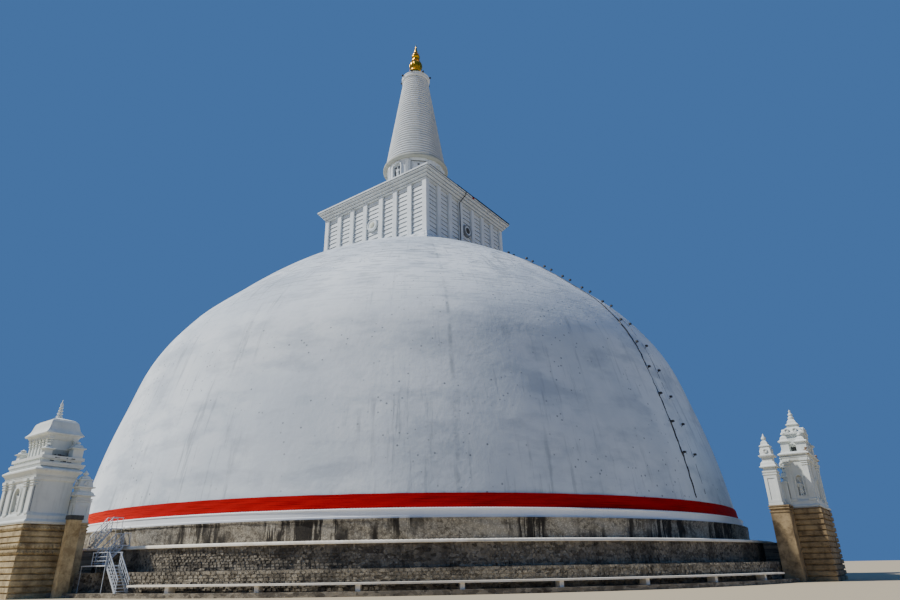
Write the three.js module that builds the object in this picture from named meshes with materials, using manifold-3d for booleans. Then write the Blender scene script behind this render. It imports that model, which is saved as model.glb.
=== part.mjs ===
// A white dome stupa on three round terraces, with four frontispieces at its foot, at one tenth of
// its real size. Every length below is in metres of the real building; mm() turns it into
// millimetres of the model. +Z is up, the dome's axis is the Z axis and the ground is z = 0.
import * as THREE from 'three';
import { mergeVertices } from 'three/addons/utils/BufferGeometryUtils.js';
import Module from 'manifold-3d';

const wasm = await Module();
wasm.setup();

const MODEL_MM_PER_METRE = 100;
const GAP = 0.003; // stands between pieces that lie side by side, 0.3 mm in the model
const ROUND = 80; // facets of the wide round forms
const ROUND_SMALL = 32; // facets of the drum and the spire
const QUARTER = Math.PI / 2;

// Round terraces: radius and height of each top edge
const GROUND_STEP = { radius: 46.4, top: 0.3 };
const LOWER_TERRACE = { radius: 45.0, top: 1.63 };
const MIDDLE_TERRACE = { radius: 42.95, top: 3.21 };
const COPING = { radius: 43.15, top: 3.47 };
const UPPER_TERRACE = { radius: 40.66, top: 5.03 };
const DOME_FOOT = { radius: 40.4, top: 5.75 };

// Offering bench around the foot, one length in each quarter
const BENCH = { inner: 45.15, outer: 46.15, under: 0.69, top: 0.81, legWidth: 0.3, legs: 8 };
const BENCH_FROM = THREE.MathUtils.degToRad(14);
const BENCH_TO = THREE.MathUtils.degToRad(80);

// Dome: radius and height of the points that its outline passes through
const DOME_OUTLINE = [
  [39.95, DOME_FOOT.top], [38.93, 12.0], [37.43, 18.0], [35.55, 24.0], [32.42, 29.0],
  [28.45, 33.0], [24.6, 36.5], [20.7, 39.5], [14.46, 43.25], [7.0, 46.4],
];
const DOME_CROWN = 47.4;
const DOME_STEPS = 17; // heights at which the outline is cut into facets

// Cloth band around the foot of the dome
const SASH = { bottom: DOME_FOOT.top, top: 6.86, clear: 0.03, thickness: 0.02 };

// Square harmika on the dome
const HARMIKA = { half: 10.25, seat: 42.9, wallTop: 53.06, recess: 0.38, roofTop: 54.85 };
const PILASTERS_PER_FACE = 8;
const CENTRE_BAY = 1.22; // width of the middle bay, in other bays
const PILASTER_SHARE = 0.36; // width of a pilaster, in bays
const SKIRT = { top: 44.4, flare: 0.35 };
const MEDALLION = { radius: 0.95, height: 48.7, depth: 0.42 };
const CORNICE = { steps: 4, half: 11.23, top: 54.57, first: 10.4 };

// Drum, spire and pinnacle: radii and heights
const DRUM = { radius: 4.9, top: 63.3, niche: 0.8, panel: 1.5, recessFoot: 56.3, recessTop: 63.1 };
const SKIRT_RING = { radius: 5.49, lip: 63.45, brow: 63.75, neck: 5.1, top: 64.25 };
const SPIRE = { foot: 5.1, head: 2.28, top: 83.0 };
const COLLAR = { radius: 2.56, top: 83.8 };
const PINNACLE_OUTLINE = [
  [0.82, 83.8], [0.62, 84.7], [0.7, 85.7], [1.17, 87.2], [0.56, 88.7],
  [0.76, 89.4], [0.36, 90.3], [0.2, 91.2], [0.12, 91.95],
];
const CRYSTAL = { radius: 0.16, top: 92.7 };

// Frontispieces: s is the distance from the dome's axis, t is measured to the side
const CORE = { rear: 43.2, halfWidth: 2.6, top: 3.2 };
const COURSE = { proud: 0.3, recess: 0.16 };
const PILASTER = { width: 0.42, proud: 0.12 };
const FRONT_PILASTERS = [-0.93, -0.48, 0.48, 0.93]; // places, in half widths of the body
const FRONT_NICHE = { half: 0.5, depth: 0.35, lift: 0.15, rise: 1.9 };
const SIDE_NICHE = { half: 0.26, depth: 0.35, lift: 0.31, rise: 2.07 };
// The lower kind has a bell roof, the taller one a tiered roof
const BELL = {
  rear: 45.9, front: 48.62, halfWidth: 2.7, baseHalf: 2.95, baseTop: 5.05, courses: 12,
  plinthTop: 5.85, wallTop: 8.45, eaveTop: 9.05, storeyTop: 11.85, roofTop: 13.5, tip: 15.1,
  roofCentre: 46.95, corniceRear: 45.45, sidePilasters: [], sideNiche: false,
  wing: { rear: 44.6, front: 45.86, face: 45.86, outer: 3.6, pier: 1.25, foot: 5.2, top: 6.75, tip: 9.2 },
};
const TIERED = {
  rear: 46.45, front: 48.35, halfWidth: 3.1, baseHalf: 3.55, baseTop: 5.98, courses: 13,
  plinthTop: 6.75, wallTop: 10.35, eaveTop: 10.8, storeyTop: 11.85, roofTop: 14.4, tip: 15.4,
  roofCentre: 47.5, sidePilasters: [46.68, 48.12], sideNiche: true,
  wing: { rear: 44.9, front: 46.4, face: 46.07, outer: 5.5, pier: 1.5, foot: 6.2, top: 8.82, tip: 12.6 },
};
const PILLAR = { rear: 45.75, front: 46.6, inner: 4.4, outer: 5.0, neck: 5.25, top: 5.62, cap: 0.07 };

// Steel stair beside one frontispiece. The lower flight runs along t from the ground step to a raised
// landing, the main one from there along s to the coping and the upper one to the upper terrace.
const STAIR = {
  stringer: 0.22, plate: 0.08, tread: 0.24, railRise: 0.85, rail: 0.06, post: 0.04, spaces: 3,
};
const STAIR_LANDING = { inner: 44.05, outer: 45.2, from: 5.1, to: 8.6, top: 2.12, opening: 6.55 };
const LOWER_FLIGHT = {
  foot: [10.4, GROUND_STEP.top], head: [STAIR_LANDING.to + GAP, STAIR_LANDING.top],
  middle: -44.65, width: 0.9, treads: 9,
};
const MAIN_FLIGHT = {
  foot: [44.35, STAIR_LANDING.top], head: [43.0, COPING.top + STAIR.plate],
  middle: 5.8, width: 1.3, treads: 7, landing: 42.45, landingFoot: COPING.top,
};
const UPPER_FLIGHT = {
  foot: [42.8, COPING.top], head: [41.6, UPPER_TERRACE.top],
  middle: 1.0, width: 1.0, treads: 8, landing: 40.67, landingFoot: COPING.top,
};

const mm = (metres) => metres * MODEL_MM_PER_METRE;

const finish = (color, roughness, metalness = 0) =>
  new THREE.MeshStandardMaterial({ color, roughness, metalness });
const plaster = finish(0xdfe2e2, 0.85);
const greyPlaster = finish(0xc4c6c4, 0.9);
const rubble = finish(0x857c6f, 0.95);
const coping = finish(0xcabfa6, 0.9);
const limestone = finish(0xa08a63, 0.9);
const cloth = finish(0xe2461c, 0.8);
const gilding = finish(0xd6a21f, 0.35, 0.9);
const steel = finish(0x9aa0a4, 0.45, 0.8);
const crystalGlass = finish(0xbfd4dd, 0.1);

const model = new THREE.Group();

function addPart(parent, name, geometry, material) {
  const mesh = new THREE.Mesh(geometry, material);
  mesh.name = name;
  parent.add(mesh);
}

// Joining and cutting

function toSolid(geometry) {
  const bare = geometry.clone();
  bare.deleteAttribute('normal');
  bare.deleteAttribute('uv');
  const merged = mergeVertices(bare);
  const corners = [];
  const index = merged.index.array;
  for (let i = 0; i < index.length; i += 3) {
    const [a, b, c] = [index[i], index[i + 1], index[i + 2]];
    if (a !== b && b !== c && c !== a) corners.push(a, b, c);
  }
  return new wasm.Manifold(new wasm.Mesh({
    numProp: 3,
    vertProperties: new Float32Array(merged.attributes.position.array),
    triVerts: new Uint32Array(corners),
  }));
}

function toGeometry(solid) {
  const mesh = solid.getMesh();
  const geometry = new THREE.BufferGeometry();
  geometry.setAttribute('position', new THREE.BufferAttribute(mesh.vertProperties, 3));
  geometry.setIndex(new THREE.BufferAttribute(mesh.triVerts, 1));
  geometry.computeVertexNormals();
  return geometry;
}

function join(geometries) {
  return toGeometry(geometries.map(toSolid).reduce((whole, solid) => whole.add(solid)));
}

function cut(geometry, tools) {
  return toGeometry(tools.map(toSolid).reduce((rest, tool) => rest.subtract(tool), toSolid(geometry)));
}

// Basic forms, placed by their limits in metres of the building

function box(x0, x1, y0, y1, z0, z1) {
  const geometry = new THREE.BoxGeometry(mm(x1) - mm(x0), mm(y1) - mm(y0), mm(z1) - mm(z0));
  return geometry.translate((mm(x0) + mm(x1)) / 2, (mm(y0) + mm(y1)) / 2, (mm(z0) + mm(z1)) / 2);
}

// A solid of revolution about the Z axis from [radius, height] rows listed from the foot up
function turned(rows, segments) {
  const points = rows.map(([radius, z]) => new THREE.Vector2(mm(radius), mm(z)));
  return new THREE.LatheGeometry(points, segments).rotateX(QUARTER);
}

function disc(radius, bottom, top, segments = ROUND) {
  return turned([[0, bottom], [radius, bottom], [radius, top], [0, top]], segments);
}

// A block of rectangles stacked at heights: each row is [height, half length, half width]
function stacked(centreX, centreY, rows) {
  const positions = [];
  for (const [z, halfX, halfY] of rows) {
    for (const [sideX, sideY] of [[-1, -1], [1, -1], [1, 1], [-1, 1]]) {
      positions.push(mm(centreX + sideX * halfX), mm(centreY + sideY * halfY), mm(z));
    }
  }
  const last = 4 * (rows.length - 1);
  const index = [0, 2, 1, 0, 3, 2, last, last + 1, last + 2, last, last + 2, last + 3];
  for (let row = 0; row < last; row += 4) {
    for (let side = 0; side < 4; side += 1) {
      const next = (side + 1) % 4;
      index.push(row + side, row + next, row + 4 + next, row + side, row + 4 + next, row + 4 + side);
    }
  }
  const geometry = new THREE.BufferGeometry();
  geometry.setAttribute('position', new THREE.Float32BufferAttribute(positions, 3));
  geometry.setIndex(index);
  geometry.computeVertexNormals();
  return geometry;
}

// Rows for stacked() from [height, offset] pairs around one rectangle
const around = (halfX, halfY, profile) =>
  profile.map(([z, offset]) => [z, halfX + offset, halfY + offset]);

// An upright niche with a round head, cut from a wall that faces +X
function nicheTool(face, centreY, half, foot, spring, depth) {
  const outline = new THREE.Shape();
  outline.moveTo(mm(-half), mm(foot));
  outline.lineTo(mm(half), mm(foot));
  outline.lineTo(mm(half), mm(spring));
  outline.absarc(0, mm(spring), mm(half), 0, Math.PI, false);
  outline.closePath();
  const settings = { depth: mm(depth + 1), bevelEnabled: false, curveSegments: 5 };
  const geometry = new THREE.ExtrudeGeometry(outline, settings);
  return geometry.rotateX(QUARTER).rotateZ(QUARTER).translate(mm(face - depth), mm(centreY), 0);
}

// The four frontispieces: name, kind and direction
const FRONTISPIECES = [
  ['east', TIERED, 0], ['north', BELL, QUARTER], ['west', TIERED, 2 * QUARTER], ['south', BELL, -QUARTER],
];

// Terraces

// Footprints of one frontispiece, which the two lowest discs leave free
function footprint([{ wing, front, baseHalf }, turn]) {
  const core = box(CORE.rear - GAP, wing.rear, -CORE.halfWidth - GAP, CORE.halfWidth + GAP, -1, 4);
  const outer = wing.outer + GAP;
  const piers = box(wing.rear - GAP, wing.front + GAP, -outer, outer, -1, 4);
  const half = baseHalf + GAP;
  const base = box(wing.front, front + 2, -half, half, -1, 4);
  return [core, piers, base].map((geometry) => geometry.rotateZ(turn));
}

function addTerraces() {
  const footprints = FRONTISPIECES.flatMap(([, kind, turn]) => footprint([kind, turn]));
  const pillarFoot = box(
    PILLAR.rear - GAP, PILLAR.front + 1, PILLAR.inner - GAP, PILLAR.outer + GAP, -1, 1,
  ).rotateZ(-QUARTER);
  const step = disc(GROUND_STEP.radius, 0, GROUND_STEP.top);
  addPart(model, 'ground_step', cut(step, [...footprints, pillarFoot]), rubble);
  const lower = disc(LOWER_TERRACE.radius, GROUND_STEP.top, LOWER_TERRACE.top);
  addPart(model, 'lower_terrace', cut(lower, footprints), rubble);
  const middle = disc(MIDDLE_TERRACE.radius, LOWER_TERRACE.top, MIDDLE_TERRACE.top);
  addPart(model, 'middle_terrace', middle, rubble);
  addPart(model, 'middle_coping', disc(COPING.radius, MIDDLE_TERRACE.top, COPING.top), coping);
  addPart(model, 'upper_terrace', disc(UPPER_TERRACE.radius, COPING.top, UPPER_TERRACE.top), rubble);
  addPart(model, 'dome_foot', disc(DOME_FOOT.radius, UPPER_TERRACE.top, DOME_FOOT.top), plaster);
}

function benchGeometry() {
  const slab = new THREE.Shape();
  slab.absarc(0, 0, mm(BENCH.outer), BENCH_FROM, BENCH_TO, false);
  slab.absarc(0, 0, mm(BENCH.inner), BENCH_TO, BENCH_FROM, true);
  const settings = { depth: mm(BENCH.top - BENCH.under), bevelEnabled: false, curveSegments: 18 };
  const top = new THREE.ExtrudeGeometry(slab, settings).translate(0, 0, mm(BENCH.under));
  const legs = [];
  for (let count = 0; count < BENCH.legs; count += 1) {
    const along = BENCH_FROM + (BENCH_TO - BENCH_FROM) * (count + 0.5) / BENCH.legs;
    const half = BENCH.legWidth / 2;
    const leg = box(
      BENCH.inner + 0.15, BENCH.outer - 0.15, -half, half, GROUND_STEP.top, BENCH.under + 0.04,
    );
    legs.push(leg.rotateZ(along));
  }
  return join([top, ...legs]);
}

function addBenches() {
  ['south_east', 'north_east', 'north_west', 'south_west'].forEach((corner, count) => {
    const geometry = benchGeometry().rotateZ((count - 1) * QUARTER);
    addPart(model, `offering_bench_${corner}`, geometry, coping);
  });
}

// Dome and cloth

const domeCurve = new THREE.SplineCurve(DOME_OUTLINE.map(([r, z]) => new THREE.Vector2(r, z)));

function domeGeometry() {
  const rows = domeCurve.getSpacedPoints(DOME_STEPS).map((point) => [point.x, point.y]);
  rows[0] = DOME_OUTLINE[0];
  const body = turned([[0, DOME_FOOT.top], ...rows, [0, DOME_CROWN]], ROUND);
  const skirt = stacked(0, 0, around(HARMIKA.half, HARMIKA.half, [
    [HARMIKA.seat - 1, SKIRT.flare], [HARMIKA.seat + 0.3, SKIRT.flare], [SKIRT.top, 0.06],
  ]));
  const half = HARMIKA.half + GAP;
  const seat = box(-half, half, -half, half, HARMIKA.seat, DOME_CROWN + 1);
  return toGeometry(toSolid(body).add(toSolid(skirt)).subtract(toSolid(seat)));
}

// Radius of the dome near its foot, where the outline is nearly straight
function domeRadius(z) {
  const [[r0, z0], [r1, z1]] = DOME_OUTLINE;
  return r0 + (r1 - r0) * (z - z0) / (z1 - z0);
}

function sashGeometry() {
  const inner = (z) => domeRadius(z) + SASH.clear;
  const outer = (z) => inner(z) + SASH.thickness;
  return turned([
    [inner(SASH.bottom), SASH.bottom], [outer(SASH.bottom), SASH.bottom],
    [outer(SASH.top), SASH.top], [inner(SASH.top), SASH.top], [inner(SASH.bottom), SASH.bottom],
  ], ROUND);
}

// Harmika

// Side edges of the pilasters of one face, from one corner to the other
function pilasterEdges() {
  const bays = PILASTERS_PER_FACE - 1;
  const shares = PILASTERS_PER_FACE * PILASTER_SHARE + (bays - 1) + CENTRE_BAY;
  const bay = 2 * HARMIKA.half / shares;
  const edges = [];
  let along = -HARMIKA.half;
  for (let count = 0; count < PILASTERS_PER_FACE; count += 1) {
    edges.push([along, along + bay * PILASTER_SHARE]);
    const next = count === (bays - 1) / 2 ? CENTRE_BAY : 1;
    along += bay * (PILASTER_SHARE + next);
  }
  return edges;
}

function harmikaWalls() {
  const inside = HARMIKA.half - HARMIKA.recess;
  const pieces = [box(-inside, inside, -inside, inside, HARMIKA.seat, HARMIKA.wallTop)];
  for (let face = 0; face < 4; face += 1) {
    for (const [from, to] of pilasterEdges()) {
      const pilaster = box(inside - 0.3, HARMIKA.half, from, to, HARMIKA.seat, HARMIKA.wallTop);
      pieces.push(pilaster.rotateZ(face * QUARTER));
    }
    const medallion = new THREE.CylinderGeometry(
      mm(MEDALLION.radius * 0.8), mm(MEDALLION.radius), mm(MEDALLION.depth + 0.1), 14,
    ).rotateZ(-QUARTER);
    medallion.translate(mm(inside + MEDALLION.depth / 2 - 0.05), 0, mm(MEDALLION.height));
    pieces.push(medallion.rotateZ(face * QUARTER));
  }
  return join(pieces);
}

function harmikaCornice() {
  const profile = [];
  const rise = (CORNICE.top - HARMIKA.wallTop) / CORNICE.steps;
  for (let step = 0; step < CORNICE.steps; step += 1) {
    const share = step / (CORNICE.steps - 1);
    const half = CORNICE.first + (CORNICE.half - CORNICE.first) * share;
    profile.push([HARMIKA.wallTop + step * rise, half, half]);
    profile.push([HARMIKA.wallTop + (step + 1) * rise, half, half]);
  }
  return stacked(0, 0, profile);
}

function addHarmika() {
  addPart(model, 'harmika_walls', harmikaWalls(), plaster);
  addPart(model, 'harmika_cornice', harmikaCornice(), plaster);
  const roof = stacked(0, 0, [
    [CORNICE.top, CORNICE.half - 0.25, CORNICE.half - 0.25],
    [HARMIKA.roofTop, DRUM.radius + 0.6, DRUM.radius + 0.6],
  ]);
  addPart(model, 'harmika_roof', roof, greyPlaster);
}

// Drum, spire and pinnacle

function drumGeometry() {
  const wall = turned([
    [0, HARMIKA.roofTop], [DRUM.radius, HARMIKA.roofTop], [DRUM.radius, DRUM.top], [0, DRUM.top],
  ], ROUND_SMALL);
  const { recessFoot, recessTop, niche, panel } = DRUM;
  const recesses = [];
  for (let count = 0; count < 4; count += 1) {
    const arched = nicheTool(DRUM.radius, 0, niche, recessFoot, recessTop - niche, 0.4);
    const square = box(DRUM.radius - 0.35, DRUM.radius + 1, -panel, panel, recessFoot, recessTop);
    recesses.push(arched.rotateZ(count * QUARTER), square.rotateZ((count + 0.5) * QUARTER));
  }
  return cut(wall, recesses);
}

function addSpire() {
  addPart(model, 'drum', drumGeometry(), plaster);
  addPart(model, 'drum_hood', turned([
    [0, DRUM.top], [DRUM.radius + 0.1, DRUM.top], [SKIRT_RING.radius, SKIRT_RING.lip],
    [SKIRT_RING.radius, SKIRT_RING.brow], [SKIRT_RING.neck, SKIRT_RING.top], [0, SKIRT_RING.top],
  ], ROUND_SMALL), plaster);
  addPart(model, 'spire', turned([
    [0, SKIRT_RING.top], [SPIRE.foot, SKIRT_RING.top], [SPIRE.head, SPIRE.top], [0, SPIRE.top],
  ], ROUND_SMALL), plaster);
  addPart(model, 'spire_collar', turned([
    [0, SPIRE.top], [SPIRE.head + 0.12, SPIRE.top], [COLLAR.radius, SPIRE.top + 0.25],
    [COLLAR.radius, COLLAR.top], [0, COLLAR.top],
  ], ROUND_SMALL), plaster);
  const outline = new THREE.SplineCurve(PINNACLE_OUTLINE.map(([r, z]) => new THREE.Vector2(r, z)));
  const rows = outline.getPoints(20).map((point) => [point.x, point.y]);
  const tip = PINNACLE_OUTLINE[PINNACLE_OUTLINE.length - 1][1];
  addPart(model, 'pinnacle', turned([[0, COLLAR.top], ...rows, [0, tip]], 16), gilding);
  const middle = (tip + CRYSTAL.top) / 2;
  addPart(model, 'crystal', turned([
    [0, tip], [0.08, tip], [CRYSTAL.radius, middle], [0, CRYSTAL.top],
  ], 8), crystalGlass);
}

// Frontispieces, each built facing +X and then turned

const centreOf = (kind) => (kind.rear + kind.front) / 2;
// What lies behind the plane between the body and its wing, up to a height
const behindBody = (kind, top) => box(40, kind.wing.front + GAP, -5, 5, -1, top);

// Rows around the body's plan, from [height, offset] pairs
function body(kind, profile) {
  return stacked(centreOf(kind), 0, around((kind.front - kind.rear) / 2, kind.halfWidth, profile));
}

// Thin courses, each a proud band over a recessed one
function baseGeometry(kind) {
  const { baseTop, baseHalf, courses: count, wing } = kind;
  const height = baseTop / count;
  const profile = [];
  for (let course = 0; course < count; course += 1) {
    const z = course * height;
    profile.push([z, 0], [z + 0.62 * height, 0]);
    profile.push([z + 0.7 * height, -COURSE.recess], [z + 0.98 * height, -COURSE.recess]);
  }
  profile.push([baseTop, 0]);
  const front = kind.front + COURSE.proud;
  const half = (front - wing.rear) / 2;
  const courses = stacked(front - half, 0, around(half, baseHalf, profile));
  const piers = box(wing.rear, wing.front, -wing.outer, wing.outer, 0, wing.foot - 0.25);
  const deep = (wing.front - wing.rear) / 2 - 0.03;
  const cap = stacked((wing.rear + wing.front) / 2, 0, around(deep, wing.outer, [
    [wing.foot - 0.5, 0], [wing.foot - 0.12, 0.08], [wing.foot, 0.08],
  ]));
  const core = box(CORE.rear, wing.rear + 0.1, -CORE.halfWidth, CORE.halfWidth, 0, CORE.top);
  const abutting = cut(cap, [box(wing.front, 50, -baseHalf - 1, baseHalf + 1, -1, 20)]);
  return join([courses, piers, abutting, core]);
}

function wallsGeometry(kind) {
  const { baseTop, plinthTop, wallTop, front, halfWidth } = kind;
  const profile = [
    [baseTop, 0.24], [baseTop + 0.25, 0.24], [baseTop + 0.25, 0.16], [plinthTop - 0.2, 0.16],
    [plinthTop - 0.1, 0.06], [plinthTop, 0], [wallTop - 0.3, 0], [wallTop - 0.2, 0.1], [wallTop, 0.14],
  ];
  const pieces = [body(kind, profile)];
  const half = PILASTER.width / 2;
  const foot = plinthTop - 0.15;
  const head = wallTop - 0.05;
  for (const place of FRONT_PILASTERS) {
    const t = place * halfWidth;
    pieces.push(box(front - 0.1, front + PILASTER.proud, t - half, t + half, foot, head));
  }
  const side = halfWidth + PILASTER.proud;
  for (const s of kind.sidePilasters) pieces.push(box(s - half, s + half, -side, side, foot, head));
  pieces.push(box(kind.wing.front, kind.rear + 0.1, 0.4 - halfWidth, halfWidth - 0.4, baseTop, wallTop));
  const nicheIn = (face, { half: wide, depth, lift, rise }) =>
    nicheTool(face, 0, wide, plinthTop + lift, plinthTop + rise - wide, depth);
  const niches = [nicheIn(front, FRONT_NICHE)];
  if (kind.sideNiche) {
    for (const turn of [QUARTER, -QUARTER]) {
      niches.push(nicheIn(halfWidth, SIDE_NICHE).rotateZ(turn).translate(mm(centreOf(kind)), 0, 0));
    }
  }
  return cut(join(pieces), [...niches, behindBody(kind, 20)]);
}

// Eaves, stepped cornice and small upper storey of the lower kind
function bellStorey(kind) {
  const { wallTop, eaveTop, storeyTop, roofCentre, corniceRear, front } = kind;
  const eaves = cut(body(kind, [
    [wallTop, 0.16], [eaveTop - 0.12, 0.36], [eaveTop, 0.36], [eaveTop + 0.15, 0.1],
  ]), [behindBody(kind, eaveTop + 1)]);
  const cornice = stacked((corniceRear + front) / 2, 0, around((front - corniceRear) / 2, 2.75, [
    [eaveTop, -0.1], [eaveTop + 0.4, 0], [eaveTop + 0.4, 0.1], [eaveTop + 0.6, 0.1],
    [eaveTop + 0.6, -0.1], [eaveTop + 0.9, -0.1], [eaveTop + 0.9, 0], [eaveTop + 1.05, 0],
    [eaveTop + 1.05, -0.15],
  ]));
  const storey = stacked(roofCentre, 0, around(1.12, 1.75, [
    [eaveTop + 0.9, 0], [storeyTop - 0.3, 0], [storeyTop, 0.12],
  ]));
  const pieces = [eaves, cornice, storey];
  for (const side of [1, -1]) {
    pieces.push(cornerTurret(45.98, side * 2.2, eaveTop + 1, eaveTop + 2.5, 0.45));
    pieces.push(cornerTurret(48.15, side * 2.25, eaveTop + 1, eaveTop + 2.0, 0.34));
  }
  const core = box(46.3, 47.8, -1.3, 1.3, eaveTop + 0.9, eaveTop + 2);
  const opening = box(46.55, 47.6, -3, 3, eaveTop + 1.1, eaveTop + 1.85);
  return join([cut(join(pieces), [opening]), core]);
}

// A small square turret with eaves and a bell cap, used at corners
function cornerTurret(s, t, foot, top, half) {
  const rise = top - foot;
  return stacked(s, t, around(half, half, [
    [foot, 0], [foot + 0.5 * rise, 0], [foot + 0.54 * rise, 0.09], [foot + 0.6 * rise, 0.09],
    [foot + 0.72 * rise, -0.05], [foot + 0.82 * rise, -0.24 * half / 0.4],
    [top, -half + 0.05],
  ]));
}

function tieredStorey(kind) {
  const { wallTop, eaveTop, storeyTop, roofCentre } = kind;
  const eaves = cut(body(kind, [
    [wallTop, 0.16], [eaveTop - 0.12, 0.32], [eaveTop, 0.32], [eaveTop + 0.15, 0.05],
  ]), [behindBody(kind, 20)]);
  const link = box(kind.wing.front + GAP, kind.rear + 0.1, -2.3, 2.3, wallTop, eaveTop);
  const storey = stacked(roofCentre, 0, around(0.85, 1.75, [
    [eaveTop, 0], [storeyTop - 0.25, 0], [storeyTop - 0.12, 0.08], [storeyTop, 0.08],
  ]));
  const pieces = [eaves, link, storey];
  for (const side of [1, -1]) {
    pieces.push(cornerTurret(46.72, side * 1.82, eaveTop + 0.05, storeyTop + 1.3, 0.4));
    pieces.push(cornerTurret(48.08, side * 1.82, eaveTop + 0.05, storeyTop + 1.05, 0.48));
  }
  return join(pieces);
}

// Finial of five shrinking discs and a point, standing on a roof
function finial(s, foot, tip, radius) {
  const rise = tip - foot;
  const rows = [[0, foot - 0.1], [radius * 0.7, foot - 0.1]];
  const discs = 5;
  for (let count = 0; count < discs; count += 1) {
    const z = foot + rise * 0.78 * count / discs;
    const reach = radius * (1 - 0.8 * count / discs);
    rows.push([reach * 0.6, z], [reach, z + rise * 0.08]);
  }
  rows.push([radius * 0.1, foot + rise * 0.8], [0, tip]);
  return turned(rows, 8).translate(mm(s), 0, 0);
}

function bellRoof(kind) {
  const { storeyTop, roofTop, roofCentre } = kind;
  const rise = roofTop - storeyTop;
  const roof = stacked(roofCentre, 0, [
    [storeyTop, 1.42, 1.98], [storeyTop + 0.12 * rise, 1.45, 2.02],
    [storeyTop + 0.32 * rise, 1.2, 1.74], [storeyTop + 0.6 * rise, 1.06, 1.58],
    [storeyTop + 0.76 * rise, 0.92, 1.4], [storeyTop + 0.9 * rise, 0.55, 0.8],
    [roofTop, 0.3, 0.3],
  ]);
  return join([roof, finial(roofCentre, roofTop, kind.tip, 0.42)]);
}

function tieredRoof(kind) {
  const { storeyTop, roofTop, roofCentre } = kind;
  const roof = stacked(roofCentre, 0, [
    [storeyTop, 0.85, 1.1], [storeyTop + 0.9, 0.8, 1.05], [storeyTop + 1.05, 0.96, 1.22],
    [storeyTop + 1.2, 0.96, 1.22], [storeyTop + 1.35, 0.8, 1.0], [storeyTop + 1.75, 0.58, 0.72],
    [storeyTop + 1.85, 0.42, 0.5], [storeyTop + 1.95, 0.53, 0.62], [storeyTop + 2.05, 0.5, 0.58],
    [storeyTop + 2.25, 0.38, 0.4], [roofTop, 0.2, 0.2],
  ]);
  return join([roof, finial(roofCentre, roofTop, kind.tip, 0.27)]);
}

// Two square piers with turrets behind the body, and the low wall that links them
function wingGeometry(kind) {
  const { rear, front, face, outer, pier, foot, top, tip } = kind.wing;
  const s = (rear + face) / 2;
  const halfS = (face - rear) / 2 - 0.03;
  const t = outer - pier / 2;
  const halfT = pier / 2 - 0.03;
  const up = (share) => top + share * (tip - top);
  const profile = [
    [foot, 0.02], [foot + 0.25, 0.02], [foot + 0.25, -0.05], [top, -0.05],
    [top, 0.03], [up(0.06), 0.03], [up(0.06), -0.05], [up(0.13), -0.05], [up(0.22), 0.16],
    [up(0.25), 0.16], [up(0.34), 0], [up(0.43), -0.05], [up(0.46), 0.02], [up(0.5), 0.02],
    [up(0.52), -0.08], [up(0.64), -0.1], [up(0.7), -0.3], [up(0.74), -0.18], [up(0.84), -0.4],
    [up(0.87), -0.34], [tip, 0.03 - Math.min(halfS, halfT)],
  ];
  const pieces = [1, -1].map((side) => stacked(s, side * t, around(halfS, halfT, profile)));
  const linkTop = foot + 0.8 * (top - foot);
  const bodyHalf = kind.halfWidth + 0.5;
  pieces.push(box(rear + 0.25, face - 0.1, -t, t, foot, linkTop));
  pieces.push(box(rear + 0.25, front, -bodyHalf, bodyHalf, foot, linkTop));
  return cut(join(pieces), [box(front, 50, -bodyHalf, bodyHalf, -1, 20)]);
}

function addFrontispiece(name, kind, turn) {
  const group = new THREE.Group();
  group.rotation.z = turn;
  addPart(group, `${name}_base`, baseGeometry(kind), limestone);
  addPart(group, `${name}_walls`, wallsGeometry(kind), plaster);
  addPart(group, `${name}_storey`, kind === BELL ? bellStorey(kind) : tieredStorey(kind), plaster);
  addPart(group, `${name}_roof`, kind === BELL ? bellRoof(kind) : tieredRoof(kind), plaster);
  addPart(group, `${name}_wing`, wingGeometry(kind), plaster);
  model.add(group);
  return group;
}

function pillarGeometry() {
  const s = (PILLAR.rear + PILLAR.front) / 2;
  const t = (PILLAR.inner + PILLAR.outer) / 2;
  const profile = [[0, 0], [PILLAR.neck, 0], [PILLAR.neck + 0.08, PILLAR.cap], [PILLAR.top, PILLAR.cap]];
  const halfS = (PILLAR.front - PILLAR.rear) / 2;
  return stacked(s, t, around(halfS, (PILLAR.outer - PILLAR.inner) / 2, profile));
}

// Steel stair

// A square bar between two points given as [s, t, z]
function bar(from, to, side) {
  const start = new THREE.Vector3(...from.map(mm));
  const end = new THREE.Vector3(...to.map(mm));
  const length = start.distanceTo(end);
  const geometry = new THREE.BoxGeometry(mm(side), mm(side), length + mm(side));
  const along = end.clone().sub(start).normalize();
  const upright = new THREE.Vector3(0, 0, 1);
  geometry.applyQuaternion(new THREE.Quaternion().setFromUnitVectors(upright, along));
  return geometry.translate(...start.add(end).multiplyScalar(0.5).toArray());
}

function post(s, t, z0, z1) {
  const half = STAIR.post / 2;
  return box(s - half, s + half, t - half, t + half, z0, z1);
}

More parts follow.
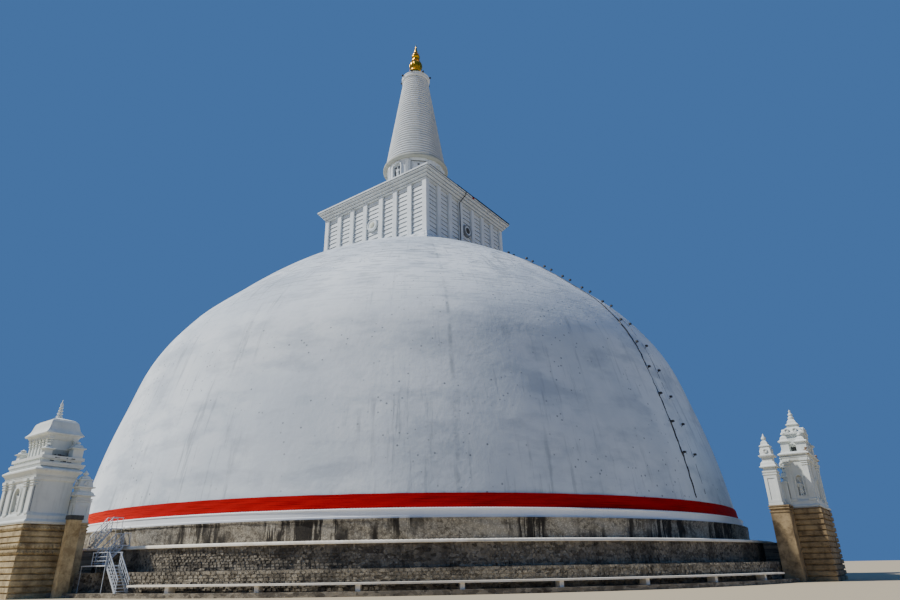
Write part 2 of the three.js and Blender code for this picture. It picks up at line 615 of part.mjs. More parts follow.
function flightGeometry({ foot, head, middle, width, treads, landing, landingFoot }) {
  const [s0, z0] = foot;
  const [s1, z1] = head;
  const at = (share) => [s0 + (s1 - s0) * share, z0 + (z1 - z0) * share];
  const pieces = [];
  for (const side of [1, -1]) {
    const t = middle + side * (width / 2 - STAIR.plate / 2);
    const stringer = new THREE.Shape();
    stringer.moveTo(mm(s0), mm(z0));
    stringer.lineTo(mm(s0 - STAIR.stringer), mm(z0));
    stringer.lineTo(mm(s1), mm(z1 - STAIR.stringer));
    stringer.lineTo(mm(s1), mm(z1));
    stringer.closePath();
    const plate = new THREE.ExtrudeGeometry(stringer, { depth: mm(STAIR.plate), bevelEnabled: false });
    pieces.push(plate.rotateX(QUARTER).translate(0, mm(t + STAIR.plate / 2), 0));
    const rise = STAIR.railRise;
    pieces.push(bar([s0, t, z0 + rise], [s1, t, z1 + rise], STAIR.rail));
    for (let count = 0; count <= STAIR.spaces; count += 1) {
      const [s, z] = at(0.04 + 0.92 * count / STAIR.spaces);
      pieces.push(post(s, t, z - 0.02, z + STAIR.railRise));
    }
  }
  const half = width / 2 - STAIR.plate / 2;
  if (landing) {
    const railTop = z1 + STAIR.railRise;
    pieces.push(box(landing, s1 + 0.05, middle - half, middle + half, z1 - STAIR.plate, z1));
    for (const t of [middle - half, middle + half]) {
      pieces.push(post(landing + 0.1, t, landingFoot, railTop));
      pieces.push(bar([landing + 0.1, t, railTop], [s1, t, railTop], STAIR.rail));
    }
  }
  for (let count = 0; count < treads; count += 1) {
    const [s, z] = at((count + 0.75) / treads);
    pieces.push(box(s, s + STAIR.tread, middle - half, middle + half, z - 0.05, z));
  }
  return join(pieces);
}

// Raised landing on legs, with rails that leave the mouths of both flights free
function landingGeometry() {
  const { inner, outer, from, to, top, opening } = STAIR_LANDING;
  const railTop = top + STAIR.railRise;
  const near = inner + 0.03;
  const far = outer - 0.03;
  const pieces = [box(inner, outer, from, to, top - STAIR.plate, top)];
  for (const t of [from + 0.03, to - 0.03]) {
    const upper = t < opening ? top - 0.01 : railTop;
    pieces.push(post(near, t, LOWER_TERRACE.top, upper));
    pieces.push(post(far, t, GROUND_STEP.top, upper));
  }
  for (const s of [near, far]) {
    pieces.push(post(s, opening, top - 0.01, railTop));
    pieces.push(bar([s, opening, railTop], [s, to - 0.03, railTop], STAIR.rail));
  }
  return join(pieces);
}

function addStair(parent) {
  addPart(parent, 'stair_lower_flight', flightGeometry(LOWER_FLIGHT).rotateZ(QUARTER), steel);
  addPart(parent, 'stair_landing', landingGeometry(), steel);
  addPart(parent, 'stair_main_flight', flightGeometry(MAIN_FLIGHT), steel);
  addPart(parent, 'stair_upper_flight', flightGeometry(UPPER_FLIGHT), steel);
}

addTerraces();
addBenches();
addPart(model, 'dome', domeGeometry(), plaster);
addPart(model, 'sash', sashGeometry(), cloth);
addHarmika();
addSpire();
const south = FRONTISPIECES.map((place) => addFrontispiece(...place)).pop();
addPart(south, 'guard_pillar', pillarGeometry(), limestone);
addStair(south);

export default model;
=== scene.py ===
"""A white dome stupa at one tenth of its real size: three round terraces, a plastered dome with a
cloth band at its foot, a square harmika, a ringed spire and four frontispieces.

Lengths are in metres of the real building unless a comment says otherwise, and Form.piece() turns
them into metres of the model. +Z is up and the dome's axis is the Z axis."""
import math
import random
from types import SimpleNamespace as Sizes

import bmesh
import bpy
import numpy as np
from mathutils import Matrix, Vector


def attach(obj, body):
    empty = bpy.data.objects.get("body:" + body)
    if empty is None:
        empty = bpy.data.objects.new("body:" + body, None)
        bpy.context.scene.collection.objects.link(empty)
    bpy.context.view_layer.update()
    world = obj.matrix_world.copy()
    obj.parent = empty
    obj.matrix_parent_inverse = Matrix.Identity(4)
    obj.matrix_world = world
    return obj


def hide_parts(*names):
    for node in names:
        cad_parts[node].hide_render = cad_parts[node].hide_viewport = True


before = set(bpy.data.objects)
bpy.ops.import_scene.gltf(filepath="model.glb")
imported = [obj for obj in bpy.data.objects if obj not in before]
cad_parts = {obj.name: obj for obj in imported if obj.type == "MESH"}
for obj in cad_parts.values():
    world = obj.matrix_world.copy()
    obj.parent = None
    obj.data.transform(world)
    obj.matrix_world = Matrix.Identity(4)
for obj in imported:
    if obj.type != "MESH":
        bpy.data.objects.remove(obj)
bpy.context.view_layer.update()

MODEL = 0.1  # metres of the model for each metre of the building
QUARTER = math.pi / 2
FACES = [count * QUARTER for count in range(4)]
SIDES = (1, -1)
ROUND = 320  # segments of the wide round forms
ROUND_SMALL = 96  # segments of the drum and the spire

# Terraces: radius and height of each top edge
GROUND_STEP_TOP = 0.3
LOWER_TERRACE = (45.0, 1.63)
MIDDLE_TERRACE = (42.95, 3.21)
COPING = (43.15, 3.47)
COPING_TILES = Sizes(count=760, depth=2.2, rear=40.5)  # rear: inner radius of the whole coping
UPPER_TERRACE = (40.66, 5.03)
DOME_FOOT = (40.4, 5.75)

# Dome: radius and height of the points that its outline passes through
DOME_OUTLINE = [
    (39.95, 5.75), (38.93, 12.0), (37.43, 18.0), (35.55, 24.0), (32.42, 29.0),
    (28.45, 33.0), (24.6, 36.5), (20.7, 39.5), (14.46, 43.25), (7.0, 46.4),
]
SEAM = math.radians(-46)  # azimuth of a faint upright seam in the plaster
CLOTH = Sizes(bottom=5.82, top=6.86, clear=0.06, columns=900, tie=12)  # tie: columns between two ties
TASSELS = 1100

# Line of lamps up the dome: azimuths in degrees
LAMP_ROWS = (-9.7, -6.35)
LAMP_HEIGHTS = (11.2, 14.3, 17.3, 20.3, 23.3, 26.3, 29.1, 31.7, 34.1, 36.4, 38.6, 40.6)
CABLE = Sizes(foot=7.2, length=0.48, lengths=76)

# Harmika
HALF = 10.25
WALL_TOP = 53.06
SEAT = 42.9
RECESS = 0.38
ROOF_TOP = 54.85
PILASTERS = 8
CENTRE_BAY = 1.22  # width of the middle bay, in other bays
PILASTER_SHARE = 0.36  # width of a pilaster, in bays
SLAT = Sizes(height=0.72, first=43.6, proud=0.13, edge=0.1, clear=0.12, joint=0.035)
MEDALLION = (0.95, 48.7)  # radius and height
CORNICE = Sizes(foot=10.4, half=11.23, top=54.57, steps=4)
CONDUCTOR = Sizes(side=-2.0, foot=45.0)

# Drum, spire and pinnacle
DRUM = Sizes(radius=4.9, top=63.3, niche=0.8, panel=1.5, recess_foot=56.3, recess_top=63.1)
DRUM_FIGURE = Sizes(foot=60.4, height=1.9)
HOOD = Sizes(radius=5.49, lip=63.45, brow=63.75, neck=5.1, top=64.25)
SPIRE = Sizes(foot=5.1, head=2.28, top=83.0, rings=35)
COLLAR = (2.56, 83.8)
PINNACLE_OUTLINE = [
    (0.82, 83.8), (0.62, 84.7), (0.7, 85.7), (1.17, 87.2), (0.56, 88.7),
    (0.76, 89.4), (0.36, 90.3), (0.2, 91.2), (0.12, 91.95),
]

# Frontispieces: s is the distance from the dome's axis, t is measured to the side
COURSE_PROUD = 0.3
BELL = Sizes(
    rear=45.9, front=48.62, half=2.7, base_half=2.95, courses=12, base_top=5.05, plinth_top=5.85,
    wall_top=8.45, eave_top=9.05, storey_top=11.85, roof_top=13.5, tip=15.1, centre=46.95,
    cornice_rear=45.45,
    wing=Sizes(rear=44.6, front=45.86, face=45.86, outer=3.6, pier=1.25, foot=5.2, top=6.75, tip=9.2),
)
TIERED = Sizes(
    rear=46.45, front=48.35, half=3.1, base_half=3.55, courses=13, base_top=5.98, plinth_top=6.75,
    wall_top=10.35, eave_top=10.8, storey_top=11.85, roof_top=14.4, tip=15.4, centre=47.5,
    wing=Sizes(rear=44.9, front=46.4, face=46.07, outer=5.5, pier=1.5, foot=6.2, top=8.82, tip=12.6),
)
for body in (BELL, TIERED):
    body.middle = (body.rear + body.front) / 2
    body.deep = (body.front - body.rear) / 2
FRONTS = [("east", TIERED, 0), ("north", BELL, 1), ("west", TIERED, 2), ("south", BELL, -1)]
FRONT_PILASTERS = (-0.93, -0.48, 0.48, 0.93)  # places, in half widths of the body
PILASTER = Sizes(half=0.21, proud=0.12)
FRONT_NICHE = Sizes(half=0.5, lift=0.15, rise=1.9)
SIDE_NICHE = Sizes(half=0.26, lift=0.31, rise=2.07)
SIDE_PILASTERS = (46.68, 48.12)

# A standing guardian as volumes: the centre and the radii of each, in shares of the figure's height
FIGURE = [
    (0, 0, 0.52, 0.085, 0.12, 0.13), (0, 0, 0.66, 0.08, 0.135, 0.09), (0, 0, 0.42, 0.09, 0.125, 0.09),
    (0, 0.06, 0.22, 0.07, 0.065, 0.23), (0.03, 0.065, 0.02, 0.07, 0.05, 0.03),
    (0, 0.155, 0.6, 0.045, 0.045, 0.12),
    (0, -0.06, 0.22, 0.07, 0.065, 0.23), (0.03, -0.065, 0.02, 0.07, 0.05, 0.03),
    (0, -0.155, 0.6, 0.045, 0.045, 0.12),
    (0.05, 0.13, 0.55, 0.06, 0.04, 0.04), (0.05, -0.15, 0.7, 0.045, 0.04, 0.09),
    (0, 0, 0.755, 0.035, 0.04, 0.05), (0.005, 0, 0.82, 0.055, 0.05, 0.065),
    (0, 0, 0.88, 0.055, 0.06, 0.04), (0, 0, 0.93, 0.035, 0.035, 0.07),
]

# The photo's camera, in metres of the model, pixels and degrees
CAMERA = Sizes(place=(5.622, -6.918, 0.16), focal=622.03, centre=(442.96, 301.89),
               pitch=23.114, roll=-0.964, turn=36.333)
PICTURE = (900, 600)
SUN = Sizes(energy=5.4, bearing=219.104, height=47)


# Forms and pieces

def circle(columns):
    """Evenly spaced angles, once round."""
    return [2 * math.pi * column / columns for column in range(columns)]


def polar(reach, angle, z):
    """The point at a distance from the upright axis, in a direction and at a height."""
    return reach * math.cos(angle), reach * math.sin(angle), z


def ring_faces(rows, columns):
    """Quads of a rows-by-columns sheet of points whose last column joins the first."""
    quads = []
    for row in range(rows - 1):
        for column in range(columns):
            a = row * columns + column
            b = row * columns + (column + 1) % columns
            quads.append((a, b, b + columns, a + columns))
    return quads


def place(name, data):
    """A new object in the scene."""
    made = bpy.data.objects.new(name, data)
    bpy.context.scene.collection.objects.link(made)
    return made


class Form:
    """Points and faces of one piece, in metres of the building, added under a placing matrix."""

    def __init__(self, turn=0.0):
        self.points = []
        self.faces = []
        self.base = Matrix.Rotation(turn, 4, "Z")
        self.placing = self.base.copy()

    def at(self, x=0.0, y=0.0, z=0.0, turn=0.0):
        """What is added next is turned about its own Z axis and then moved to x, y, z."""
        self.placing = self.base @ Matrix.Translation((x, y, z)) @ Matrix.Rotation(turn, 4, "Z")
        return self

    def on(self, x, y=0.0, z=0.0):
        """What is added next is moved on from the present placing, along its turned axes."""
        self.placing = self.placing @ Matrix.Translation((x, y, z))
        return self

    def outwards(self, x, y=0.0, z=0.0):
        """The same as on(), and tipped so that the axis of a turned form points along +X."""
        self.placing = self.on(x, y, z).placing @ Matrix.Rotation(QUARTER, 4, "Y")
        return self

    def add(self, points, faces):
        start = len(self.points)
        self.points.extend(self.placing @ Vector(point) for point in points)
        self.faces.extend([start + index for index in face] for face in faces)
        return self

    def capped(self, points, columns):
        """A sheet that is closed sideways, with a flat face at each end."""
        last = len(points) - columns
        caps = [range(columns - 1, -1, -1), range(last, last + columns)]
        return self.add(points, ring_faces(len(points) // columns, columns) + caps)

    def block(self, x0, x1, y0, y1, z0, z1):
        half_x, half_y = abs(x1 - x0) / 2, abs(y1 - y0) / 2
        return self.stack((x0 + x1) / 2, (y0 + y1) / 2, [(z0, half_x, half_y), (z1, half_x, half_y)])

    def stack(self, x, y, rows):
        """Rectangles at heights, joined into one block: each row is height, half x, half y."""
        corners = ((-1, -1), (1, -1), (1, 1), (-1, 1))
        return self.capped([(x + side_x * half_x, y + side_y * half_y, z)
                            for z, half_x, half_y in rows for side_x, side_y in corners], 4)

    def moulded(self, x, y, half_x, half_y, profile, base=0.0, unit=1.0):
        """A rectangle with a profile round it: heights, in units above the base, and offsets."""
        rows = [(base + z * unit, half_x + offset, half_y + offset) for z, offset in profile]
        return self.stack(x, y, rows)

    def wrap(self, rows, columns, spot):
        """A sheet once round the axis: spot(row, angle, column) gives the radius and the height."""
        points = []
        for row in rows:
            for column, angle in enumerate(circle(columns)):
                reach, z = spot(row, angle, column)
                points.append(polar(reach, angle, z))
        return self.add(points, ring_faces(len(rows), columns))

    def lathe(self, rows, segments, base=0.0, unit=1.0):
        """A solid of revolution from rows of radius and height, in units above the base."""
        return self.wrap(rows, segments, lambda row, angle, column: (row[0], base + row[1] * unit))

    def rod(self, start, end, radius, sides=6):
        """A straight bar between two points."""
        start, end = Vector(start), Vector(end)
        along = (end - start).normalized()
        across = along.orthogonal().normalized()
        over = along.cross(across)
        points = []
        for centre in (start, end):
            for side in range(sides):
                angle = 2 * math.pi * (side + 0.5) / sides
                points.append(centre + radius * (across * math.cos(angle) + over * math.sin(angle)))
        return self.capped(points, sides)

    def ball(self, centre, radii, segments=12):
        rings = max(4, segments // 2)
        points = []
        for ring in range(rings + 1):
            lift = -QUARTER + math.pi * ring / rings
            for angle in circle(segments):
                unit = polar(math.cos(lift), angle, math.sin(lift))
                points.append([mid + reach * share for mid, reach, share in zip(centre, radii, unit)])
        return self.add(points, ring_faces(rings + 1, segments))

    def piece(self, name, material, replaces=(), slot="plaster", smooth=35.0, bevel=0.0):
        """Makes the scene's object from what was added, at the model's scale."""
        mesh = bpy.data.meshes.new(name)
        mesh.from_pydata([tuple(point * MODEL) for point in self.points], [], self.faces)
        work = bmesh.new()
        work.from_mesh(mesh)
        bmesh.ops.remove_doubles(work, verts=work.verts, dist=1e-6)
        bmesh.ops.dissolve_degenerate(work, edges=work.edges, dist=1e-7)
        bmesh.ops.recalc_face_normals(work, faces=work.faces)
        work.to_mesh(mesh)
        work.free()
        mesh.polygons.foreach_set("use_smooth", [True] * len(mesh.polygons))
        mesh.set_sharp_from_angle(angle=math.radians(smooth))
        mesh.materials.append(material)
        made = place(name, mesh)
        if bevel:
            rounding = made.modifiers.new("rounding", "BEVEL")
            rounding.width = bevel * MODEL
            rounding.segments = 2
            rounding.limit_method = "ANGLE"
            rounding.angle_limit = math.radians(40)
        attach(made, "root")
        if replaces:
            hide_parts(*replaces)
        return made


def bulge(z0, z1, offset, depth, steps=5):
    """A half-round moulding from z0 to z1 that stands out by depth; a hollow if depth is negative."""
    shares = [step / steps for step in range(steps + 1)]
    return [(z0 + (z1 - z0) * share, offset + depth * math.sin(math.pi * share)) for share in shares]


def ogee(z0, z1, wide, narrow, steps=8):
    """Rows of a bell-shaped cap: flared eaves, a steep middle and a rounded shoulder."""
    rows = []
    for step in range(steps + 1):
        share = step / steps
        flare = 0.45 * (1 - (1 - min(share / 0.35, 1)) ** 2)
        shoulder = 0.55 * max((share - 0.35) / 0.65, 0) ** 2.4
        rows.append((z0 + (z1 - z0) * share, wide + (narrow - wide) * (flare + shoulder)))
    return rows


def spline(points, count):
    """A smooth line of count points through the given ones."""
    given = [points[0], *points, points[-1]]
    line = []
    for step in range(count):
        along = step / (count - 1) * (len(points) - 1)
        first = min(int(along), len(points) - 2)
        share = along - first
        a, b, c, d = (np.array(given[first + index], float) for index in range(4))
        line.append(tuple(0.5 * (
            2 * b + (c - a) * share + (2 * a - 5 * b + 4 * c - d) * share ** 2
            + (3 * b - 3 * c + d - a) * share ** 3
        )))
    return line


def spread(start, end, step):
    """Middles of the equal parts of a length, each part about one step long."""
    count = int(abs(end - start) / step)
    return [start + (number + 0.5) * (end - start) / count for number in range(count)]


def radius_at(line, z):
    """Radius at a height of an outline of radius and height pairs."""
    radii, heights = zip(*line)
    return float(np.interp(z, heights, radii))


def random_waves(count, laps, slow, fast):
    """The sum, at an angle and a height, of waves that are drawn at random."""
    waves = [(random.choice(laps), random.uniform(slow, fast), random.uniform(0, 6.28))
             for _ in range(count)]
    return lambda angle, z: sum(math.sin(k * angle + speed * z + phase) for k, speed, phase in waves)


# Materials

def colour(code):
    """A hex colour as linear red, green, blue and alpha."""
    shares = [int(code[start:start + 2], 16) / 255 for start in (0, 2, 4)]
    return [s / 12.92 if s < 0.04 else ((s + 0.055) / 1.055) ** 2.4 for s in shares] + [1.0]


class Finish:
    """Short calls that build the nodes of one material."""

    def __init__(self, name, roughness, metallic=0.0):
        self.material = bpy.data.materials.new(name)
        self.material.use_nodes = True
        self.tree = self.material.node_tree
        self.shader = self.tree.nodes["Principled BSDF"]
        self.shader.inputs["Roughness"].default_value = roughness
        self.shader.inputs["Metallic"].default_value = metallic
        self.place = self.tree.nodes.new("ShaderNodeTexCoord").outputs["Object"]

    def put(self, socket, value):
        if isinstance(value, bpy.types.NodeSocket):
            self.tree.links.new(value, socket)
        else:
            socket.default_value = value

    def node(self, kind, **given):
        """A new node, with a value or a link for each input that is named."""
        made = self.tree.nodes.new(f"ShaderNode{kind}")
        for name, value in given.items():
            self.put(made.inputs[name.replace("_", " ")], value)
        return made

    def scaled(self, x, y, z):
        return self.node("Mapping", Vector=self.place, Scale=(x, y, z)).outputs["Vector"]

    def axes(self):
        """The position's x, y and z."""
        return self.node("SeparateXYZ", Vector=self.place).outputs

    def bearing(self):
        """The angle round the upright axis."""
        x, y, _ = self.axes()
        return self.math("ARCTAN2", y, x)

    def wrapped(self, around_scale, up_scale):
        """Position as angle and height, so that courses and streaks follow a round wall."""
        return self.node("CombineXYZ", X=self.times(self.bearing(), around_scale),
                         Y=self.times(self.axes()[2], up_scale)).outputs[0]

    def noise(self, scale, where=None, detail=4.0, roughness=0.6):
        return self.node("TexNoise", Vector=where or self.place, Scale=scale, Detail=detail,
                         Roughness=roughness).outputs["Fac"]

    def patches(self, low, high, scale, where=None, detail=4.0, roughness=0.6):
        """Noise as a mask: nothing below the low value and everything above the high one."""
        return self.between(self.noise(scale, where, detail, roughness), low, high)

    def cells(self, scale):
        """Distance from the nearest of many scattered points."""
        return self.node("TexVoronoi", Vector=self.place, Scale=scale).outputs["Distance"]

    def shades(self, scale, where=None):
        """One random value for each cell round scattered points."""
        cells = self.node("TexVoronoi", Vector=where or self.place, Scale=scale)
        return self.node("SeparateColor", Color=cells.outputs["Color"]).outputs[0]

    def math(self, kind, first, second=0.0):
        node = self.node("Math")
        node.operation = kind
        self.put(node.inputs[0], first)
        self.put(node.inputs[1], second)
        return node.outputs["Value"]

    def times(self, first, second):
        return self.math("MULTIPLY", first, second)

    def between(self, value, low, high, to_low=0.0, to_high=1.0):
        """The value's share of the way from low to high, kept within the two results."""
        node = self.node("MapRange", Value=value, From_Min=low, From_Max=high, To_Min=to_low,
                         To_Max=to_high)
        node.interpolation_type = "SMOOTHSTEP"
        return node.outputs["Result"]

    def mix(self, factor, first, second):
        """From the first colour to the second one; each is a socket or a hex code."""
        node = self.node("Mix")
        node.data_type = "RGBA"
        self.put(node.inputs["Factor"], factor)
        for socket, value in ((node.inputs[6], first), (node.inputs[7], second)):
            self.put(socket, colour(value) if isinstance(value, str) else value)
        return node.outputs[2]

    def stain(self, base, mask, amount, code):
        """The base with an amount of another colour where the mask is."""
        return self.mix(self.times(mask, amount), base, code)

    def done(self, base, height, strength, distance, roughness=None):
        self.put(self.shader.inputs["Base Color"], base)
        if roughness is not None:
            self.put(self.shader.inputs["Roughness"], roughness)
        bump = self.node("Bump", Strength=strength, Distance=distance, Height=height)
        self.put(self.shader.inputs["Normal"], bump.outputs["Normal"])
        return self.material


def dome_plaster():
    """Limewashed plaster of the dome: broad patches, run-off streaks, specks, courses and a seam."""
    f = Finish("dome_plaster", 0.9)
    base = f.mix(f.patches(0.38, 0.68, 0.55, detail=5), "e6ecee", "c6cfd6")
    base = f.stain(base, f.patches(0.45, 0.68, 1.0, f.scaled(1.6, 1.6, 4.2), 6), 0.55, "a3aeb9")
    streaks = f.patches(0.52, 0.64, 1.0, f.wrapped(55.0, 1.1), 6, 0.7)
    base = f.stain(base, f.times(streaks, f.patches(0.42, 0.6, 0.9)), 0.45, "7f8890")
    specks = f.between(f.cells(15.0), 0.08, 0.17, 1.0, 0.0)
    base = f.stain(base, f.times(specks, f.patches(0.44, 0.58, 1.7, detail=3)), 0.8, "636c72")
    near_top = f.between(f.axes()[2], 2.2, 3.6)
    courses = f.times(f.patches(0.53, 0.6, 1.0, f.wrapped(13.0, 34.0), 3, 0.5), near_top)
    base = f.stain(base, courses, 0.6, "8a9398")
    off = f.math("ABSOLUTE", f.math("ADD", f.bearing(), -SEAM))
    seam = f.times(f.between(off, 0.001, 0.008, 1.0, 0.0), f.patches(0.4, 0.62, 7.0))
    base = f.stain(base, seam, 0.5, "818a91")
    height = f.math("ADD", f.noise(16.0, detail=8), f.times(courses, -1.6))
    return f.done(base, height, 0.45, 0.008)


def white_plaster(name, light, second, grime, amount):
    """Whitewashed plaster of two tones, with thin run-off below edges."""
    f = Finish(name, 0.88)
    base = f.stain(light, f.patches(0.4, 0.7, 5.0, detail=6), 0.5, second)
    base = f.stain(base, f.patches(0.5, 0.72, 1.0, f.scaled(34, 34, 2.4), 6, 0.7), amount, grime)
    return f.done(base, f.noise(42.0, detail=6), 0.25, 0.003)


def ring_plaster():
    """Plaster of the spire, with painted shadow in the hollow between each ring and the next and on its
    +X+Y side.
    """
    f = Finish("ring_plaster", 0.88)
    rise = (SPIRE.top - HOOD.top) / SPIRE.rings * MODEL
    x, y, z = f.axes()
    share = f.math("FRACT", f.math("DIVIDE", f.math("ADD", z, -HOOD.top * MODEL), rise))
    hollow = f.between(f.math("ABSOLUTE", f.math("ADD", share, -0.5)), 0.3, 0.44)
    # Painted shadow: darker in the hollow between the rings.
    hollow_shadow = f.times(hollow, f.between(f.noise(6.0), 0.25, 0.5, 0.6, 1.0))
    base = f.stain("e0e6e8", f.patches(0.4, 0.7, 5.0, detail=6), 0.4, "c6ced3")
    # Painted shade: darker on the +X+Y side, away from the key light.
    base = f.stain(base, f.between(f.math("ADD", x, y), 0.1, 0.5), 0.55, "7f8b98")
    return f.done(f.mix(hollow_shadow, base, "565e67"), f.noise(42.0, detail=6), 0.25, 0.003)


def wall_stone():
    """Upper terrace wall: rough grey-brown render with pale patches and narrow dark stains."""
    f = Finish("wall_stone", 0.95)
    base = f.mix(f.patches(0.42, 0.58, 30.0, detail=8, roughness=0.85), "6e6556", "c6bca6")
    base = f.stain(base, f.patches(0.48, 0.6, 1.0, f.wrapped(14.0, 4.0), 6), 0.6, "cfc6b2")
    stains = f.patches(0.44, 0.5, 1.0, f.wrapped(60.0, 1.2), 6, 0.75)
    base = f.mix(f.times(stains, f.patches(0.5, 0.56, 1.0, f.wrapped(7.0, 0.5))), base, "1d1914")
    base = f.stain(base, f.between(f.cells(75.0), 0.15, 0.5), 0.4, "3d362c")
    return f.done(base, f.noise(60.0, detail=8, roughness=0.8), 1.0, 0.012)


def rubble():
    """Lower walls: dark weathered rubble with pale lichen specks and damp."""
    f = Finish("rubble", 0.96)
    base = f.mix(f.shades(1.0, f.wrapped(120.0, 50.0)), "5a5245", "a59a85")
    base = f.stain(base, f.patches(0.55, 0.62, 45.0, detail=8, roughness=0.85), 0.7, "cfc7b2")
    base = f.stain(base, f.patches(0.5, 0.64, 1.0, f.wrapped(16.0, 1.0)), 0.6, "332d25")
    return f.done(base, f.noise(55.0, detail=8, roughness=0.8), 1.0, 0.01)


def coping_stone():
    """Cream tiles of the walkway's edge, dirty in places."""
    f = Finish("coping_stone", 0.9)
    base = f.mix(f.patches(0.4, 0.66, 7.0, detail=6), "fff6e2", "ece0c6")
    base = f.stain(base, f.patches(0.56, 0.72, 1.0, f.wrapped(8.0, 2.0), 5), 0.4, "877c66")
    return f.done(base, f.noise(60.0, detail=6), 0.4, 0.003)


def limestone(name, pale, brown, wet):
    """Brown-tan limestone blocks of the frontispieces, with damp stains."""
    f = Finish(name, 0.92)
    base = f.mix(f.patches(0.36, 0.66, 9.0, detail=8, roughness=0.75), pale, brown)
    base = f.stain(base, f.shades(1.0, f.scaled(16, 16, 24)), 0.25, pale)
    base = f.stain(base, f.patches(0.52, 0.7, 1.0, f.scaled(9, 9, 4), 6), wet, "261e14")
    return f.done(base, f.noise(55.0, detail=8, roughness=0.7), 0.6, 0.004)


def cloth_weave():
    """Orange-red cloth with painted light and shade: bright orange towards -X, where the key light falls,
    crimson from about the middle to +X, and painted shade in its folds.
    """
    f = Finish("cloth_weave", 0.85)
    f.shader.inputs["Specular IOR Level"].default_value = 0.1
    x, y, _ = f.axes()
    # Painted light and shade: orange on the -X side that the key light falls on, crimson towards +X.
    base = f.mix(f.between(f.math("ADD", x, f.times(y, 0.1)), -3.4, 0.4), "ff4a08", "b40003")
    folds = f.noise(1.0, f.wrapped(10.0, 170.0))
    # Painted shade: darker red in the folds.
    base = f.mix(f.between(folds, 0.48, 0.66), base, "7c0200")
    weave = f.noise(1.0, f.wrapped(900.0, 2500.0), detail=2)
    return f.done(base, f.math("ADD", weave, folds), 0.3, 0.002)


def gold_leaf():
    """Gilding that is duller and browner in patches."""
    f = Finish("gold_leaf", 0.28, 1.0)
    base = f.mix(f.patches(0.4, 0.7, 30.0, detail=6), "e0ac24", "a8761a")
    return f.done(base, f.noise(80.0), 0.15, 0.001, f.between(f.noise(22.0), 0.3, 0.7, 0.2, 0.42))


def galvanised_steel():
    """Zinc-grey steel with flakes of two shades and a little rust."""
    f = Finish("galvanised_steel", 0.55, 0.3)
    base = f.mix(f.shades(160.0), "b4b9bd", "d3d7da")
    base = f.stain(base, f.patches(0.62, 0.75, 18.0, detail=6), 0.5, "7b5f49")
    return f.done(base, f.noise(90.0), 0.1, 0.001)


def dark_metal():
    """Nearly black metal of the lamps and the lightning conductor."""
    f = Finish("dark_metal", 0.6, 0.3)
    return f.done(f.mix(f.patches(0.4, 0.7, 60.0), "26282a", "45413b"), f.noise(120.0), 0.1, 0.001)


def clear_crystal():
    """Clear, faintly blue crystal."""
    f = Finish("clear_crystal", 0.05)
    f.shader.inputs["Transmission Weight"].default_value = 0.8
    return f.done(f.mix(f.patches(0.3, 0.7, 60.0), "dcecf0", "b7ccd4"), f.noise(90.0), 0.05, 0.001)


DOME_WHITE = dome_plaster()
WHITE = white_plaster("white_plaster", "e2e8ea", "c9cfd2", "808990", 0.3)
RING_WHITE = ring_plaster()
FRONT_WHITE = white_plaster("weathered_plaster", "dcdfd8", "bfc3bb", "6c7270", 0.18)
CLEAN_WHITE = white_plaster("fresh_plaster", "f8faf9", "eff2f3", "b9bfc4", 0.12)
CREAM = white_plaster("cream_plaster", "d6d9c8", "c3c6b4", "8f917c", 0.3)
# Dark grey painted shadow: the drum's niche backs and frame lines and the line at the hood's head.
PAINTED_SHADOW = white_plaster("painted_shadow_plaster", "5b6064", "4c5154", "3a3d3f", 0.5)
# Mid grey: painted shadow in the slat joints and grooves, the medallions' grooves, the cornice hollows
# and the bell fronts' niche backs; also the own colour of the dark medallions' rings.
GREY_AND_SHADOW = white_plaster("grey_and_shadow_plaster", "8a9196", "70777b", "565b5e", 0.5)
# Pale grey that paints shade: the hood's band and the panels in the bell fronts' storey openings.
PALE_SHADOW_GREY = white_plaster("pale_shadow_grey_plaster", "aeb1a8", "999d94", "6c7270", 0.3)
# Near black: real stains, the dark medallions' bosses and the guard post's cap, and painted shadow in the
# tiered fronts' storey openings.
NEAR_BLACK_AND_SHADOW = white_plaster("near_black_and_shadow_plaster", "4a4c4a", "353634", "1f1e1b", 0.6)
LICHEN = white_plaster("lichened_plaster", "94785a", "6f5238", "3f3c28", 0.7)
WALL_STONE = wall_stone()
RUBBLE = rubble()
COPING_STONE = coping_stone()
LIMESTONE = limestone("limestone", "d0bb8e", "86714e", 0.45)
# A darker copy of the limestone for the tiered fronts, with more damp stain: painted shade on bases that
# stand in shadow, partly real damp.
DAMP_SHADOWED_LIMESTONE = limestone("damp_shadowed_limestone", "a8916a", "5c4b34", 0.65)
CLOTH_WEAVE = cloth_weave()
GOLD = gold_leaf()
STEEL = galvanised_steel()
DARK = dark_metal()
CRYSTAL = clear_crystal()


def dress(material, *names):
    """Gives CAD nodes that keep their shape a finish from this script."""
    for name in names:
        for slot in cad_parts[name].material_slots:
            slot.material = material


def nodes_from(start):
    """Names of the CAD nodes whose names begin in the same way."""
    return [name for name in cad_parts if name.startswith(start)]


# Terraces

def clear_of_fronts(angle, margin):
    """Whether an azimuth is outside all four frontispieces, with a margin in metres."""
    off = (angle + QUARTER / 2) % QUARTER - QUARTER / 2
    return abs(off) * LOWER_TERRACE[0] > margin


